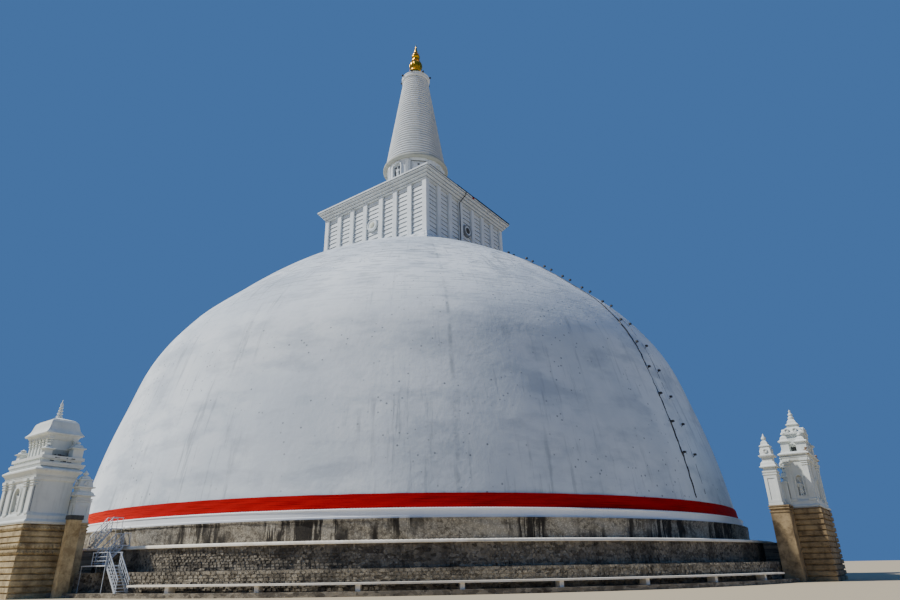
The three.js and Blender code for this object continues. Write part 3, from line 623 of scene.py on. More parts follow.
def stone_facing(name, radius, bottom, top, courses, length, proud, margin=0.0):
    """Courses of separate rough stones that stand a little out of a round wall."""
    random.seed(name)
    form = Form()
    height = (top - bottom) / courses
    count = round(2 * math.pi * radius / length)
    for course in range(courses):
        shift = random.random()
        for number in range(count):
            angle = 2 * math.pi * (number + shift + random.uniform(-0.12, 0.12)) / count
            if margin and not clear_of_fronts(angle, margin):
                continue
            wide = length * random.uniform(0.3, 0.47)
            low = bottom + (course + random.uniform(0.0, 0.16)) * height
            high = bottom + (course + random.uniform(0.8, 1.02)) * height
            out = proud * random.uniform(0.1, 1.0)
            lean = random.uniform(-0.4, 0.2) * proud
            head = wide * random.uniform(0.75, 0.98)
            form.at(turn=angle).stack(radius, 0, [(low, out, wide), (high, out + lean, head)])
    form.piece(name, RUBBLE, slot="rubble")


def ribbed_coping():
    """Ring of half-round tiles with a square edge below."""
    columns = COPING_TILES.count * 4
    radius, top = COPING
    bottom = MIDDLE_TERRACE[1]
    joint, rear = radius - COPING_TILES.depth, COPING_TILES.rear
    edge = radius - 0.03
    rows = [(joint, top, 0), (radius - 0.75, top, 1), (radius - 0.05, top - 0.03, 1),
            (radius, top - 0.09, 1), (radius, bottom + 0.02, 0), (edge, bottom, 0)]

    def ribbed(row, _, column):
        reach, z, ribs = row
        return reach, z - ribs * (0.0, 0.035, 0.02, 0.014)[column % 4]

    form = Form()
    form.wrap(rows, columns, ribbed)
    form.lathe([(rear, top - 0.01), (rear, bottom), (edge, bottom)], columns)
    form.lathe([(joint, top), (rear, top - 0.01)], columns)
    form.piece("coping_tiles", COPING_STONE, ["middle_coping"], "coping", smooth=50)


def dome_foot():
    """Whitewashed drum below the dome, with a small rounded ledge at its head."""
    radius, top = DOME_FOOT
    bottom = UPPER_TERRACE[1]
    ledge = [(radius + out, z) for z, out in bulge(top - 0.16, top, -0.05, 0.05, 6)]
    form = Form()
    form.lathe([(0, bottom), (radius, bottom), (radius, bottom + 0.14), (radius - 0.05, bottom + 0.17),
                *ledge, (0, top)], ROUND)
    form.piece("dome_foot_ledge", CLEAN_WHITE, ["dome_foot"])


def rough_render():
    """Upper terrace wall: old render that is worn into hollows, with a thin edge at its head."""
    random.seed(5)
    waves = random_waves(18, (31, 57, 83, 131, 211, 307), 0.5, 7)
    radius, top = UPPER_TERRACE
    bottom, edge = COPING[1], top - 0.14

    def worn(share, angle, _):
        z = bottom + (edge - bottom) * share
        return radius + 0.035 + 0.008 * waves(angle, z) + random.uniform(-0.012, 0.012), z

    form = Form()
    form.wrap([row / 12 for row in range(13)], 1500, worn)
    form.lathe([(radius + 0.03, edge), (radius + 0.1, edge + 0.01), (radius + 0.1, top - 0.02),
                (radius - 0.05, top)], ROUND)
    form.piece("upper_terrace_render", WALL_STONE, slot="rubble", smooth=60)


def terraces():
    dress(RUBBLE, "ground_step", "lower_terrace", "middle_terrace")
    dress(WALL_STONE, "upper_terrace")
    dress(COPING_STONE, *nodes_from("offering_bench"))
    lower_top = LOWER_TERRACE[1]
    stone_facing("lower_terrace_stones", LOWER_TERRACE[0], GROUND_STEP_TOP + 0.02, lower_top - 0.03,
                 courses=6, length=0.4, proud=0.07, margin=4.4)
    stone_facing("middle_terrace_stones", MIDDLE_TERRACE[0], lower_top + 0.02, MIDDLE_TERRACE[1] - 0.02,
                 courses=8, length=0.32, proud=0.07)
    rough_render()
    ribbed_coping()
    dome_foot()


# Dome and cloth

DOME_LINE = spline(DOME_OUTLINE, 150)


def dome_radius(z):
    return radius_at(DOME_LINE, z)


def dome_shell():
    """The dome with the slight unevenness of hand-laid plaster, and the skirt of the harmika."""
    random.seed(4)
    waves = random_waves(14, (5, 9, 14, 23, 37), 0.1, 0.9)

    def uneven(row, angle, _):
        radius, z = row
        return radius + 0.007 * waves(angle, z) - 0.03 if radius else 0, z

    rows = [(0, DOME_OUTLINE[0][1]), *DOME_LINE, (0, DOME_OUTLINE[-1][1] + 1)]
    Form().wrap(rows, 400, uneven).piece("dome_shell", DOME_WHITE, ["dome"], smooth=60)
    skirt = [(-1, 0.34), (0.3, 0.34), (0.9, 0.22), (1.5, 0.05), (1.55, -1)]
    Form().moulded(0, 0, HALF, HALF, skirt, SEAT).piece("harmika_skirt", DOME_WHITE)


def cloth_band():
    """One long cloth stretched round the foot of the dome, pleated where it is tied."""
    random.seed(11)
    sag = [random.uniform(0, 0.02) for _ in range(CLOTH.columns // CLOTH.tie)]
    rise = CLOTH.top - CLOTH.bottom

    def pleated(share, angle, column):
        tie = column / CLOTH.tie
        drop = sag[int(tie)] * math.sin(math.pi * (tie % 1))
        z = CLOTH.bottom + rise * share - drop * (0.4 + 0.6 * share)
        pleat = 0.012 * math.sin(angle * 141 + 5 * share) + 0.008 * math.sin(angle * 77 - 9 * share)
        return dome_radius(z) + CLOTH.clear + pleat, z

    form = Form()
    form.wrap([row / 8 for row in range(9)], CLOTH.columns, pleated)
    band = form.piece("cloth_band", CLOTH_WEAVE, ["sash"], "cloth", smooth=80)
    tassels = Form()
    reach = dome_radius(CLOTH.bottom) + CLOTH.clear
    for angle in circle(TASSELS):
        rows = [(CLOTH.bottom - 0.06, 0.01, 0.03), (CLOTH.bottom + 0.01, 0.012, 0.02)]
        tassels.at(turn=angle).stack(reach, 0, rows)
    fringe = tassels.piece("cloth_tassels", CLOTH_WEAVE, slot="cloth")


def lamp_line():
    """Two rows of small lamps on brackets up the dome, with a thin dark strip and a cable."""
    random.seed(7)
    lamps = Form()
    for azimuth in LAMP_ROWS:
        lamps.at(turn=math.radians(azimuth))
        for z in LAMP_HEIGHTS:
            reach = dome_radius(z)
            lamps.rod((reach - 0.15, 0, z - 0.1), (reach + 0.2, 0, z + 0.22), 0.03)
            lamps.block(reach + 0.08, reach + 0.3, -0.14, 0.14, z + 0.16, z + 0.34)
    lamps.at()
    for azimuth, width, sway, share in zip(LAMP_ROWS, (0.1, 0.02), (0.1, 0.04), (1.0, 0.85)):
        previous = None
        for step in range(CABLE.lengths):
            z = CABLE.foot + step * CABLE.length
            reach = dome_radius(z) - 0.02
            spot = polar(reach, math.radians(azimuth) + random.uniform(-sway, sway) / reach, z)
            if previous and random.random() < share:
                lamps.rod(previous, spot, width * random.uniform(0.5, 1.0), 5)
            previous = spot
    lamps.piece("lamp_line", DARK, slot="steel")


# Harmika

def pilaster_edges():
    """Side edges of the pilasters of one face, from one corner to the other."""
    bays = PILASTERS - 1
    bay = 2 * HALF / (PILASTERS * PILASTER_SHARE + (bays - 1) + CENTRE_BAY)
    edges = []
    along = -HALF
    for count in range(PILASTERS):
        edges.append((along, along + bay * PILASTER_SHARE))
        along += bay * (PILASTER_SHARE + (CENTRE_BAY if count == (bays - 1) / 2 else 1))
    return edges


def harmika_slats():
    """Overlapping sloping slats that stop short of the pilasters, with grey strips of painted shadow
    under each slat and in the grooves beside the pilasters.
    """
    form = Form()
    shade_strips = Form()
    wall = HALF - RECESS
    edges = pilaster_edges()
    for turn in FACES:
        form.at(turn=turn)
        shade_strips.at(turn=turn)
        for (_, left), (right, _) in zip(edges, edges[1:]):
            z = SLAT.first
            # Grey strip over the bay behind the slats: painted shadow in the grooves at the bay's ends.
            shade_strips.block(wall - 0.02, wall + 0.005, left + 0.01, right - 0.01, z - 0.4, WALL_TOP - 0.02)
            left += SLAT.clear
            right -= SLAT.clear
            while z + SLAT.height < WALL_TOP:
                outline = [(-0.05, 0), (SLAT.proud, 0), (SLAT.proud, SLAT.edge), (0.01, SLAT.height),
                           (-0.05, SLAT.height)]
                form.capped([(wall + out, y, z + up) for y in (left, right) for out, up in outline], 5)
                # Grey strip under each slat's edge: painted shadow.
                shade_strips.block(wall, wall + SLAT.proud - 0.02, left + 0.01, right - 0.01, z - SLAT.joint, z)
                z += SLAT.height
    form.piece("harmika_slats", WHITE, smooth=20)
    shade_strips.piece("slat_shadow_lines", GREY_AND_SHADOW)


def medallions():
    """A disc of rings round a boss in the middle of each face; two of the bosses are dark."""
    radius, z = MEDALLION
    parts = {
        "rings": [(0.7, 0.05), (1.02, 0.05), (1.02, 0.42), (0.95, 0.5), (0.82, 0.5), (0.76, 0.4),
                  (0.74, 0.2)],
        "grooves": [(1.08, 0.05), (1.08, 0.2), (0.8, 0.24), (0, 0.24)],
        "bosses": [(0.6, 0.2), (0.6, 0.36), (0.5, 0.46), (0.25, 0.54), (0, 0.55)],
    }
    # The grey groove disc of all four is painted shadow inside the rings; the dark pair's grey rings and
    # near-black bosses are their own colour.
    pale, dark = ("pale", (1, 3), (WHITE, GREY_AND_SHADOW, CREAM)), ("dark", (0, 2), (GREY_AND_SHADOW, GREY_AND_SHADOW, NEAR_BLACK_AND_SHADOW))
    for name, turns, materials in (pale, dark):
        for (part, profile), material in zip(parts.items(), materials):
            form = Form()
            for turn in turns:
                form.at(turn=turn * QUARTER).outwards(HALF - RECESS, 0, z)
                form.lathe([(radius * share, out) for share, out in profile], 40)
            form.piece(f"medallion_{part}_{name}", material)


def harmika_cornice():
    """Four fascias that step out, each over a hollow painted grey as shadow, and the plain walls and
    roof.
    """
    rise = (CORNICE.top - WALL_TOP) / CORNICE.steps
    rows = []
    hollows = Form()
    for step in range(CORNICE.steps):
        half = CORNICE.foot + (CORNICE.half - CORNICE.foot) * step / (CORNICE.steps - 1)
        z = WALL_TOP + step * rise
        rows += [(z, half - 0.1), (z + 0.13, half - 0.1), (z + 0.14, half), (z + rise - 0.02, half)]
        # Grey strips in the hollows: painted shadow under each fascia.
        hollows.moulded(0, 0, half, half, [(0.005, -0.08), (0.125, -0.08)], z)
    rows.append((CORNICE.top, CORNICE.half - 0.03))
    Form().moulded(0, 0, 0, 0, rows).piece("harmika_mouldings", WHITE, ["harmika_cornice"], smooth=20)
    hollows.piece("cornice_hollows", GREY_AND_SHADOW)
    dress(WHITE, "harmika_roof", "harmika_walls")


def conductor():
    """Lightning conductor down one face, the dark drip strip of the roof there and an orange rag."""
    form = Form()
    y, edge, top = CONDUCTOR.side, CORNICE.half, CORNICE.top
    path = [(edge - 0.05, y + 0.5, top + 0.03), (edge + 0.05, y + 0.35, top - 0.6),
            (10.6, y + 0.12, WALL_TOP + 0.1), (HALF + 0.05, y, WALL_TOP - 0.3),
            (HALF + 0.05, y, CONDUCTOR.foot)]
    for start, end in zip(path, path[1:]):
        form.rod(start, end, 0.07, 5)
    for start, height in ((0.6 - edge, 0.01), (-4.0, 0.07), (1.0, 0.13)):
        form.block(edge - 0.02, edge + 0.04, start, edge - 0.05, top - 0.08, top + height)
    form.piece("lightning_conductor", DARK, slot="steel")
    rag = Form().block(edge - 0.02, edge + 0.05, 0.2, 0.6, top - 0.35, top - 0.14)
    rag.piece("roof_rag", CLOTH_WEAVE, slot="cloth")


# Figures and arches

def standing_figure(form, height):
    """A calm standing guardian of plain design: robe, chest, arms and a tall headdress."""
    for volume in FIGURE:
        sizes = [height * share for share in volume]
        form.ball(sizes[:3], sizes[3:])


def carved(name, form, material, grain):
    """A piece whose overlapping volumes are fused into one carved surface."""
    fuse = form.piece(name, material, smooth=70).modifiers.new("fuse", "REMESH")
    fuse.mode = "VOXEL"
    fuse.voxel_size = grain * MODEL
    fuse.use_smooth_shade = True


def arch_line(half, foot, spring, steps=18):
    """An arch as side and height pairs, from its left foot over the top to its right foot."""
    turns = [math.pi - math.pi * step / steps for step in range(steps + 1)]
    top = [(half * math.cos(turn), spring + half * math.sin(turn)) for turn in turns]
    return [(-half, foot), *top, (half, foot)]


def arch_band(form, face, half, foot, spring, width, proud):
    """A moulded band round an arched niche on a wall that faces +X."""
    points = []
    for inner, outer in zip(arch_line(half, foot, spring), arch_line(half + width, foot, spring)):
        points += [(face - 0.02, *inner), (face + proud, *inner), (face + proud, *outer),
                   (face - 0.02, *outer)]
    form.capped(points, 4)


# Drum, spire and pinnacle

def drum_trim():
    """Pilasters, arched niches with figures and square frames round the drum."""
    dress(WHITE, "drum")
    trim, figures, backs = Form(), Form(), Form()
    radius, foot, head = DRUM.radius, DRUM.recess_foot, DRUM.recess_top
    edge = DRUM.panel - 0.2
    rear, face = radius - 0.4, radius - 0.16
    for turn in FACES:
        trim.at(turn=turn)
        arch_band(trim, radius - 0.06, DRUM.niche, foot, head - 0.95, 0.22, 0.14)
        # Dark back of each niche: painted shadow.
        backs.at(turn=turn).block(radius - 0.43, radius - 0.36, -0.7, 0.7, foot, head - 0.7)
        standing_figure(figures.at(turn=turn).on(radius - 0.28, 0, DRUM_FIGURE.foot), DRUM_FIGURE.height)
        for side in SIDES:
            trim.at(turn=turn + side * QUARTER / 4)
            trim.stack(radius - 0.1, 0, [
                (ROOF_TOP, 0.25, 0.34), (ROOF_TOP + 0.5, 0.25, 0.34), (ROOF_TOP + 0.55, 0.18, 0.26),
                (DRUM.top - 0.7, 0.18, 0.26), (DRUM.top - 0.6, 0.24, 0.32), (DRUM.top - 0.3, 0.24, 0.32),
            ])
        trim.at(turn=turn + QUARTER / 2)
        for low, high in ((foot + 0.1, foot + 0.35), (head - 0.25, head)):
            trim.block(rear, face, -DRUM.panel, DRUM.panel, low, high)
        for side in SIDES:
            trim.block(rear, face, side * edge, side * DRUM.panel, foot + 0.1, head)
        trim.block(rear, radius - 0.25, -0.9, 0.9, foot + 0.7, head - 0.6)
        # Dark lines along the inner edges of each frame: painted shadow; and a small dark mark in its
        # middle.
        backs.at(turn=turn + QUARTER / 2)
        for t0, t1, z0, z1 in (
            (-edge, edge, head - 0.33, head - 0.26), (-edge, 0.1 - edge, foot + 0.36, head - 0.26),
            (edge - 0.1, edge, foot + 0.36, head - 0.26), (-0.16, 0.16, head - 1.1, head - 0.8),
        ):
            backs.block(radius - 0.36, radius - 0.22, t0, t1, z0, z1)
    trim.piece("drum_trim", WHITE, bevel=0.015)
    backs.piece("drum_niche_backs", PAINTED_SHADOW)
    carved("drum_figures", figures, WHITE, 0.04)


def hood():
    """Flared hood between the drum and the spire, grey as painted shade, with a line of painted shadow at
    its head.
    """
    roll = spline([
        (DRUM.radius + 0.08, DRUM.top), (HOOD.radius - 0.03, HOOD.lip), (HOOD.radius - 0.01, HOOD.brow),
        (HOOD.neck + 0.2, HOOD.top - 0.2), (HOOD.neck + 0.03, HOOD.top - 0.07),
    ], 16)
    form = Form().lathe([(0, DRUM.top), *roll, (0, HOOD.top)], ROUND_SMALL)
    # The hood's grey finish paints the shade on its band.
    form.piece("spire_hood", PALE_SHADOW_GREY, ["drum_hood"], smooth=30)
    reach = HOOD.neck + 0.01
    line = [(reach - 0.2, -0.08), (reach, -0.08), (reach, 0), (reach - 0.2, 0)]
    # Dark ring at the spire's foot: painted shadow.
    Form().lathe(line, ROUND_SMALL, HOOD.top).piece("hood_lines", PAINTED_SHADOW)


def spire():
    """A tapering cone of rounded rings."""
    rows = [(0, 0)]
    for ring in range(SPIRE.rings):
        radius = SPIRE.foot + (SPIRE.head - SPIRE.foot) * (ring + 0.5) / SPIRE.rings
        for step in range(7):
            share = step / 6
            rows.append((radius - 0.22 + 0.22 * math.sin(math.pi * share) ** 0.45, ring + share))
    rows.append((0, SPIRE.rings))
    form = Form().lathe(rows, ROUND_SMALL, HOOD.top, (SPIRE.top - HOOD.top) / SPIRE.rings)
    form.piece("spire_rings", RING_WHITE, ["spire"], smooth=50)


def collar():
    """Moulded collar at the head of the spire, with eight lamps on brackets round it."""
    radius, top = COLLAR
    form = Form()
    form.lathe([
        (0, SPIRE.top), (SPIRE.head + 0.05, SPIRE.top), (radius - 0.12, SPIRE.top + 0.14),
        (radius - 0.06, SPIRE.top + 0.2), (radius - 0.06, top - 0.22), (radius, top - 0.18),
        (radius, top - 0.03), (radius - 0.05, top), (0, top),
    ], 64)
    form.piece("collar_band", WHITE, ["spire_collar"], smooth=30)
    lamps = Form()
    for number in range(8):
        lamps.at(turn=math.radians(22.5 + 45 * number))
        lamps.rod((radius - 0.2, 0, top - 0.1), (radius + 0.1, 0, top), 0.04)
        lamps.ball((radius + 0.15, 0, top), (0.19, 0.19, 0.19))
    lamps.piece("collar_lamps", DARK, slot="steel")


def pinnacle():
    """Gilded pinnacle: a necked foot, a ribbed bulb, a smaller one and a point with a crystal."""
    line = spline(PINNACLE_OUTLINE, 90)
    form = Form().lathe([(0, COLLAR[1]), *line, (0, PINNACLE_OUTLINE[-1][1])], 48)
    form.piece("pinnacle_gilding", GOLD, ["pinnacle"], "gilding", smooth=60)
    bands = Form()
    for z, extra in ((83.95, 0.1), (84.3, 0.06), (86.1, 0.1), (88.45, 0.12), (89.9, 0.08), (90.7, 0.05)):
        radius = radius_at(line, z)
        bands.lathe([(radius - 0.05, -0.1), (radius + extra, -0.05), (radius + extra, 0.05),
                     (radius - 0.05, 0.1)], 48, z)
    ribs, steps, foot, rise = 16, 8, 86.3, 0.24
    for turn in circle(ribs):
        bands.at(turn=turn)
        for step in range(steps):
            low, high = foot + rise * step, foot + rise * (step + 1)
            bands.rod((radius_at(line, low), 0, low), (radius_at(line, high), 0, high), 0.05, 5)
    bands.piece("pinnacle_bands", GOLD, slot="gilding", smooth=50)
    dress(CRYSTAL, "crystal")


# Frontispieces, each built facing +X and then turned

def base_stones(name, kind, turn):
    """Thin courses, each a flat band over a dark hollow, and the plain foot of the wings."""
    form = Form(turn)
    random.seed(name)
    height = kind.base_top / kind.courses
    rows = []
    for course in range(kind.courses):
        z = course * height
        worn = random.uniform(-0.03, 0.0)
        rows += [(z, worn - 0.02), (z + 0.02, worn), (z + 0.72 * height, worn),
                 (z + 0.76 * height, worn - 0.02), (z + 0.78 * height, -0.15), (z + 0.98 * height, -0.15)]
    rows += [(kind.base_top - 0.02, 0), (kind.base_top, 0)]
    piers = kind.wing
    half = (kind.front + COURSE_PROUD - piers.rear) / 2
    form.moulded(piers.rear + half, 0, half, kind.base_half, rows)
    deep = (piers.front - piers.rear) / 2
    form.moulded(piers.rear + deep, 0, deep, piers.outer, [
        (-piers.foot, 0), (-0.62, 0), (-0.6, 0.05), (-0.5, 0.05), (-0.48, -0.02), (-0.4, -0.02),
        *bulge(-0.38, -0.16, -0.02, 0.1), (-0.12, 0.08), (0, 0.08),
    ], piers.foot)
    # The tiered fronts take the darker limestone: painted shade on their bases, partly real damp.
    stone = LIMESTONE if kind is BELL else DAMP_SHADOWED_LIMESTONE
    form.piece(f"{name}_base_stones", stone, [f"{name}_base"], "limestone")
    core = Form(turn).block(43.2, piers.rear + 0.1, -2.6, 2.6, 0, 3.2)
    core.piece(f"{name}_core_stones", RUBBLE, slot="limestone")


def carved_friezes(name, kind, turn):
    """Three rows of small carved knobs along the front and the sides of a base."""
    form = Form(turn)
    height = kind.base_top / kind.courses
    front, half = kind.front + COURSE_PROUD, kind.base_half
    for down, step, tall in ((1, 0.24, 0.1), (4, 0.3, 0.17), (5, 0.24, 0.1)):
        z = (kind.courses - down + 0.28) * height
        for t in spread(-half, half, step):
            form.ball((front - 0.01, t, z), (0.06, step * 0.36, tall * random.uniform(0.8, 1.0)), 8)
        for s in spread(front, kind.rear, step):
            for side in SIDES:
                form.ball((s, side * half, z), (step * 0.36, 0.04, tall), 8)
    form.piece(f"{name}_frieze", LIMESTONE, slot="limestone", smooth=60)


def pilaster(form, half, proud, foot, head):
    """A pilaster at the placing's origin, facing +X: base, shaft with a sunk face, and capital."""
    form.moulded(0, 0, proud, half, [
        (foot, 0.05), (foot + 0.14, 0.05), (foot + 0.18, 0), (head - 0.62, 0), (head - 0.58, 0.05),
        (head - 0.5, 0.05), (head - 0.46, -0.01), (head - 0.36, 0.08), (head - 0.26, 0.02),
        (head - 0.2, 0.11), (head, 0.11),
    ])


def wall_trim(name, kind, turn):
    """Pilasters, plinth mouldings and arched niches with figures on the body of a frontispiece."""
    dress(FRONT_WHITE, f"{name}_walls")
    form, figures, backs = Form(turn), Form(turn), Form(turn)
    half, plinth = kind.half, kind.plinth_top
    foot, head = plinth - 0.12, kind.wall_top - 0.08
    shaft = (PILASTER.half + 0.01, PILASTER.proud + 0.02, foot, head)
    for share in FRONT_PILASTERS:
        pilaster(form.at(kind.front, share * half), *shaft)
        # Strips beside each front pilaster in the niche backs' finish: painted shadow in grey on the bell
        # fronts, plain white on the tiered ones.
        backs.at(kind.front, share * half)
        for side in SIDES:
            inner, outer = side * PILASTER.half, side * (PILASTER.half + 0.05)
            backs.block(-0.02, 0.03, inner, outer, foot + 0.2, head - 0.62)
    niche_foot = plinth + FRONT_NICHE.lift
    spring = plinth + FRONT_NICHE.rise - FRONT_NICHE.half
    form.at()
    arch_band(form, kind.front, FRONT_NICHE.half, niche_foot, spring, 0.16, 0.1)
    arch_band(form, kind.front, FRONT_NICHE.half + 0.18, niche_foot, spring, 0.08, 0.05)
    standing_figure(figures.at(kind.front - 0.16, 0, niche_foot), 1.65)
    if kind is TIERED:
        wide = SIDE_NICHE.half
        low, high = plinth + SIDE_NICHE.lift, plinth + SIDE_NICHE.rise
        for side in SIDES:
            for s in SIDE_PILASTERS:
                pilaster(form.at(s, side * half, turn=side * QUARTER), *shaft)
            form.at(kind.middle, side * half, turn=side * QUARTER)
            arch_band(form, 0, wide, low, high - wide, 0.1, 0.08)
            backs.at(kind.middle, side * half, turn=side * QUARTER)
            backs.block(-0.345, -0.3, 0.02 - wide, wide - 0.02, low + 0.01, high - 0.12)
            standing_figure(figures.at(kind.middle, side * (half - 0.19), low, side * QUARTER), 1.5)
    form.at().moulded(kind.middle, 0, kind.deep, half, [
        (0, 0.22), *bulge(0, 0.3, 0.2, 0.1), *bulge(0.34, 0.55, 0.14, -0.06),
        (foot - kind.base_top, 0.12),
    ], kind.base_top)
    form.piece(f"{name}_wall_trim", FRONT_WHITE)
    carved(f"{name}_figures", figures, FRONT_WHITE, 0.035)
    # Back of the front niche: painted shadow in grey on the bell fronts, plain white on the tiered ones.
    backs.at(kind.front).block(-0.345, -0.32, -0.47, 0.47, niche_foot + 0.01, spring + 0.3)
    backs.piece(f"{name}_niche_backs", GREY_AND_SHADOW if kind is BELL else WHITE)


def turret(form, s, t, foot, top, half):
    """A small square aedicule: posts, eaves, a bell cap and a bulb with a point."""
    rise = top - foot
    form.at(s, t).moulded(0, 0, half, half, [
        (0, 0), (0.05, 0), (0.07, -0.06), (0.46, -0.06), (0.47, 0), (0.5, 0), (0.51, 0.09), (0.54, 0.1),
        *ogee(0.56, 0.78, 0.06, 0.1 - half),
    ], foot, rise)
    form.lathe([(0.12, 0.78 - 0.02 / rise), (0.09, 0.81), (0.2, 0.83), (0.2, 0.87), (0.09, 0.92),
                (0.04, 0.95), (0, 1)], 12, foot, rise)


def finial(form, s, foot, tip, radius):
    """Five thick discs that shrink upwards on a stem, with a long point."""
    rise = tip - foot
    rows = [(0, -0.1 / rise), (radius * 0.5, -0.1 / rise), (radius * 0.5, 0)]
    for count in range(5):
        z = 0.155 * count
        reach = radius * (0.68 - 0.09 * count)
        rows += [(radius * 0.25, z + 0.015), (reach * 0.85, z + 0.03), (reach, z + 0.07),
                 (reach * 0.85, z + 0.115), (radius * 0.26, z + 0.135)]
    form.at(s).lathe([*rows, (radius * 0.12, 0.83), (0, 1)], 16, foot, rise)


def dentils(form, s, half, z, step):
    """A row of small blocks along a front edge."""
    for t in spread(-half, half, step):
        form.block(s, s + 0.1, t - step * 0.28, t + step * 0.28, z + 0.2, z + 0.32)


def bell_storey(name, kind, turn):
    """Eaves, a cornice of three steps, an open storey of posts and small corner turrets."""
    form = Form(turn)
    centre, top, storey_top = kind.centre, kind.eave_top, kind.storey_top
    eave = kind.wall_top - top
    form.moulded(kind.middle, 0, kind.deep, kind.half, [
        (eave, 0.1), (eave + 0.06, 0.16), (eave + 0.1, 0.12), (eave + 0.3, 0.2), (-0.16, 0.34),
        (-0.14, 0.36), (-0.04, 0.36), (0, 0.3), (0.14, 0.1),
    ], top)
    rear, front = kind.cornice_rear, kind.front
    form.moulded((rear + front) / 2, 0, (front - rear) / 2, 2.75, [
        (0, -0.12), (0.2, -0.12), (0.22, 0.02), (0.36, 0.06), (0.38, 0.1), (0.52, 0.1), (0.54, -0.14),
        (0.78, -0.14), (0.8, 0), (1.03, 0), (1.05, -0.15),
    ], top)
    form.moulded(centre, 0, 1.0, 1.6, [(top + 0.9, 0), (storey_top, 0)])
    for side in SIDES:
        turret(form, 45.98, side * 2.2, top + 1, top + 2.5, 0.45)
        turret(form, 48.15, side * 2.25, top + 1, top + 2.0, 0.34)
    for t in (-1.5, -0.9, -0.3, 0.3, 0.9, 1.5):
        pilaster(form.at(centre + 0.98, t), 0.08, 0.1, top + 1, storey_top - 0.15)
    for side in SIDES:
        for s in (46.05, 47.85):
            pilaster(form.at(s, side * 1.62), 0.12, 0.06, top + 1, storey_top - 0.15)
    form.at().moulded(centre, 0, 1.12, 1.75, [(-0.4, -0.16), (-0.3, -0.02), (-0.14, 0.06), (0, 0.12)],
                      storey_top)
    dentils(form, front - 0.02, 2.7, top + 0.3, 0.22)
    form.piece(f"{name}_storey_detail", FRONT_WHITE, [f"{name}_storey"])
    stain_blocks(turn, top).piece(f"{name}_openings", NEAR_BLACK_AND_SHADOW)
    # Pale grey panels in the storey's side openings: painted shade of the recess.
    panel = Form(turn)
    for side in SIDES:
        panel.block(46.25, 47.55, side * 1.6, side * 1.615, top + 1.05, top + 1.68)
    panel.piece(f"{name}_storey_panels", PALE_SHADOW_GREY)


def stain_blocks(turn, top):
    """Thin dark flecks on the sides of the open storey and along the ledges below it."""
    stain = Form(turn)
    random.seed(9)
    for side in SIDES:
        for _ in range(20):
            s = 46.35 + 1.0 * random.random()
            z = top + 1.08 + 0.2 * random.random()
            wide, tall = random.uniform(0.06, 0.26), random.uniform(0.03, 0.1)
            face = side * (1.63 + 0.02 * random.random())
            stain.block(s - wide / 2, s + wide, side * 1.6, face, z, z + tall)
        for number in range(12):
            s = 46.15 + 1.6 * random.random()
            shelf, t = ((0.86, 2.74), (0.62, 2.61))[number % 2]
            wide, tall = random.uniform(0.08, 0.3), random.uniform(0.02, 0.09)
            z = top + shelf
            stain.block(s, s + wide, side * (t - 0.02), side * (t + 0.02), z, z + tall)
    return stain


def tiered_storey(name, kind, turn):
    """Eaves of two steps, a storey of small posts and a turret at each corner."""
    form = Form(turn)
    centre, top, storey_top, wall_top = kind.centre, kind.eave_top, kind.storey_top, kind.wall_top
    eave = wall_top - top
    form.moulded(kind.middle, 0, kind.deep, kind.half, [
        (eave, 0.1), (eave + 0.08, 0.18), (eave + 0.16, 0.18), (eave + 0.18, 0.1), (-0.2, 0.14),
        (-0.14, 0.3), (-0.1, 0.32), (-0.03, 0.32), (0.15, 0.05),
    ], top)
    form.block(kind.wing.front + 0.01, kind.rear + 0.1, -2.3, 2.3, wall_top, top)
    form.moulded(centre, 0, 0.72, 1.6, [
        (top - storey_top, 0), (-0.3, 0), (-0.2, 0.1), (-0.12, 0.2), (0, 0.2),
    ], storey_top)
    for side in SIDES:
        turret(form, 46.72, side * 1.82, top + 0.05, storey_top + 1.3, 0.4)
        turret(form, 48.08, side * 1.82, top + 0.05, storey_top + 1.05, 0.48)
        scroll(form, kind.wing.front - 0.15, side * 2.9, wall_top - 0.55)
    for t in (-0.9, -0.3, 0.3, 0.9):
        pilaster(form.at(centre + 0.78, t), 0.08, 0.08, top + 0.1, storey_top - 0.1)
    form.piece(f"{name}_storey_detail", FRONT_WHITE, [f"{name}_storey"])
    # Near-black panels in the storey's side openings: painted shadow.
    shade = Form(turn)
    lichen = Form(turn)
    for side in SIDES:
        shade.block(47.15, 47.6, side * 1.59, side * 1.63, top + 0.15, storey_top - 0.3)
        for s, z, size in ((48.42, top + 0.1, 0.2), (48.5, top + 0.35, 0.13), (48.55, top - 0.12, 0.14)):
            lichen.ball((s, side * (kind.half - 0.05), z), (size, size * 0.8, size * 0.8), 10)
    shade.piece(f"{name}_openings", NEAR_BLACK_AND_SHADOW)
    lichen.piece(f"{name}_lichen", LICHEN, smooth=60)


def scroll(form, s, t, z):
    """A curled ornament that fills the corner between the body and its wing."""
    form.at(s, t, z)
    for step in range(9):
        x, up, _ = polar(0.42 * 0.82 ** step, 0.6 * step, 0)
        size = 0.17 * 0.9 ** step
        form.ball((x, 0, up), (size, 0.16, size), 10)


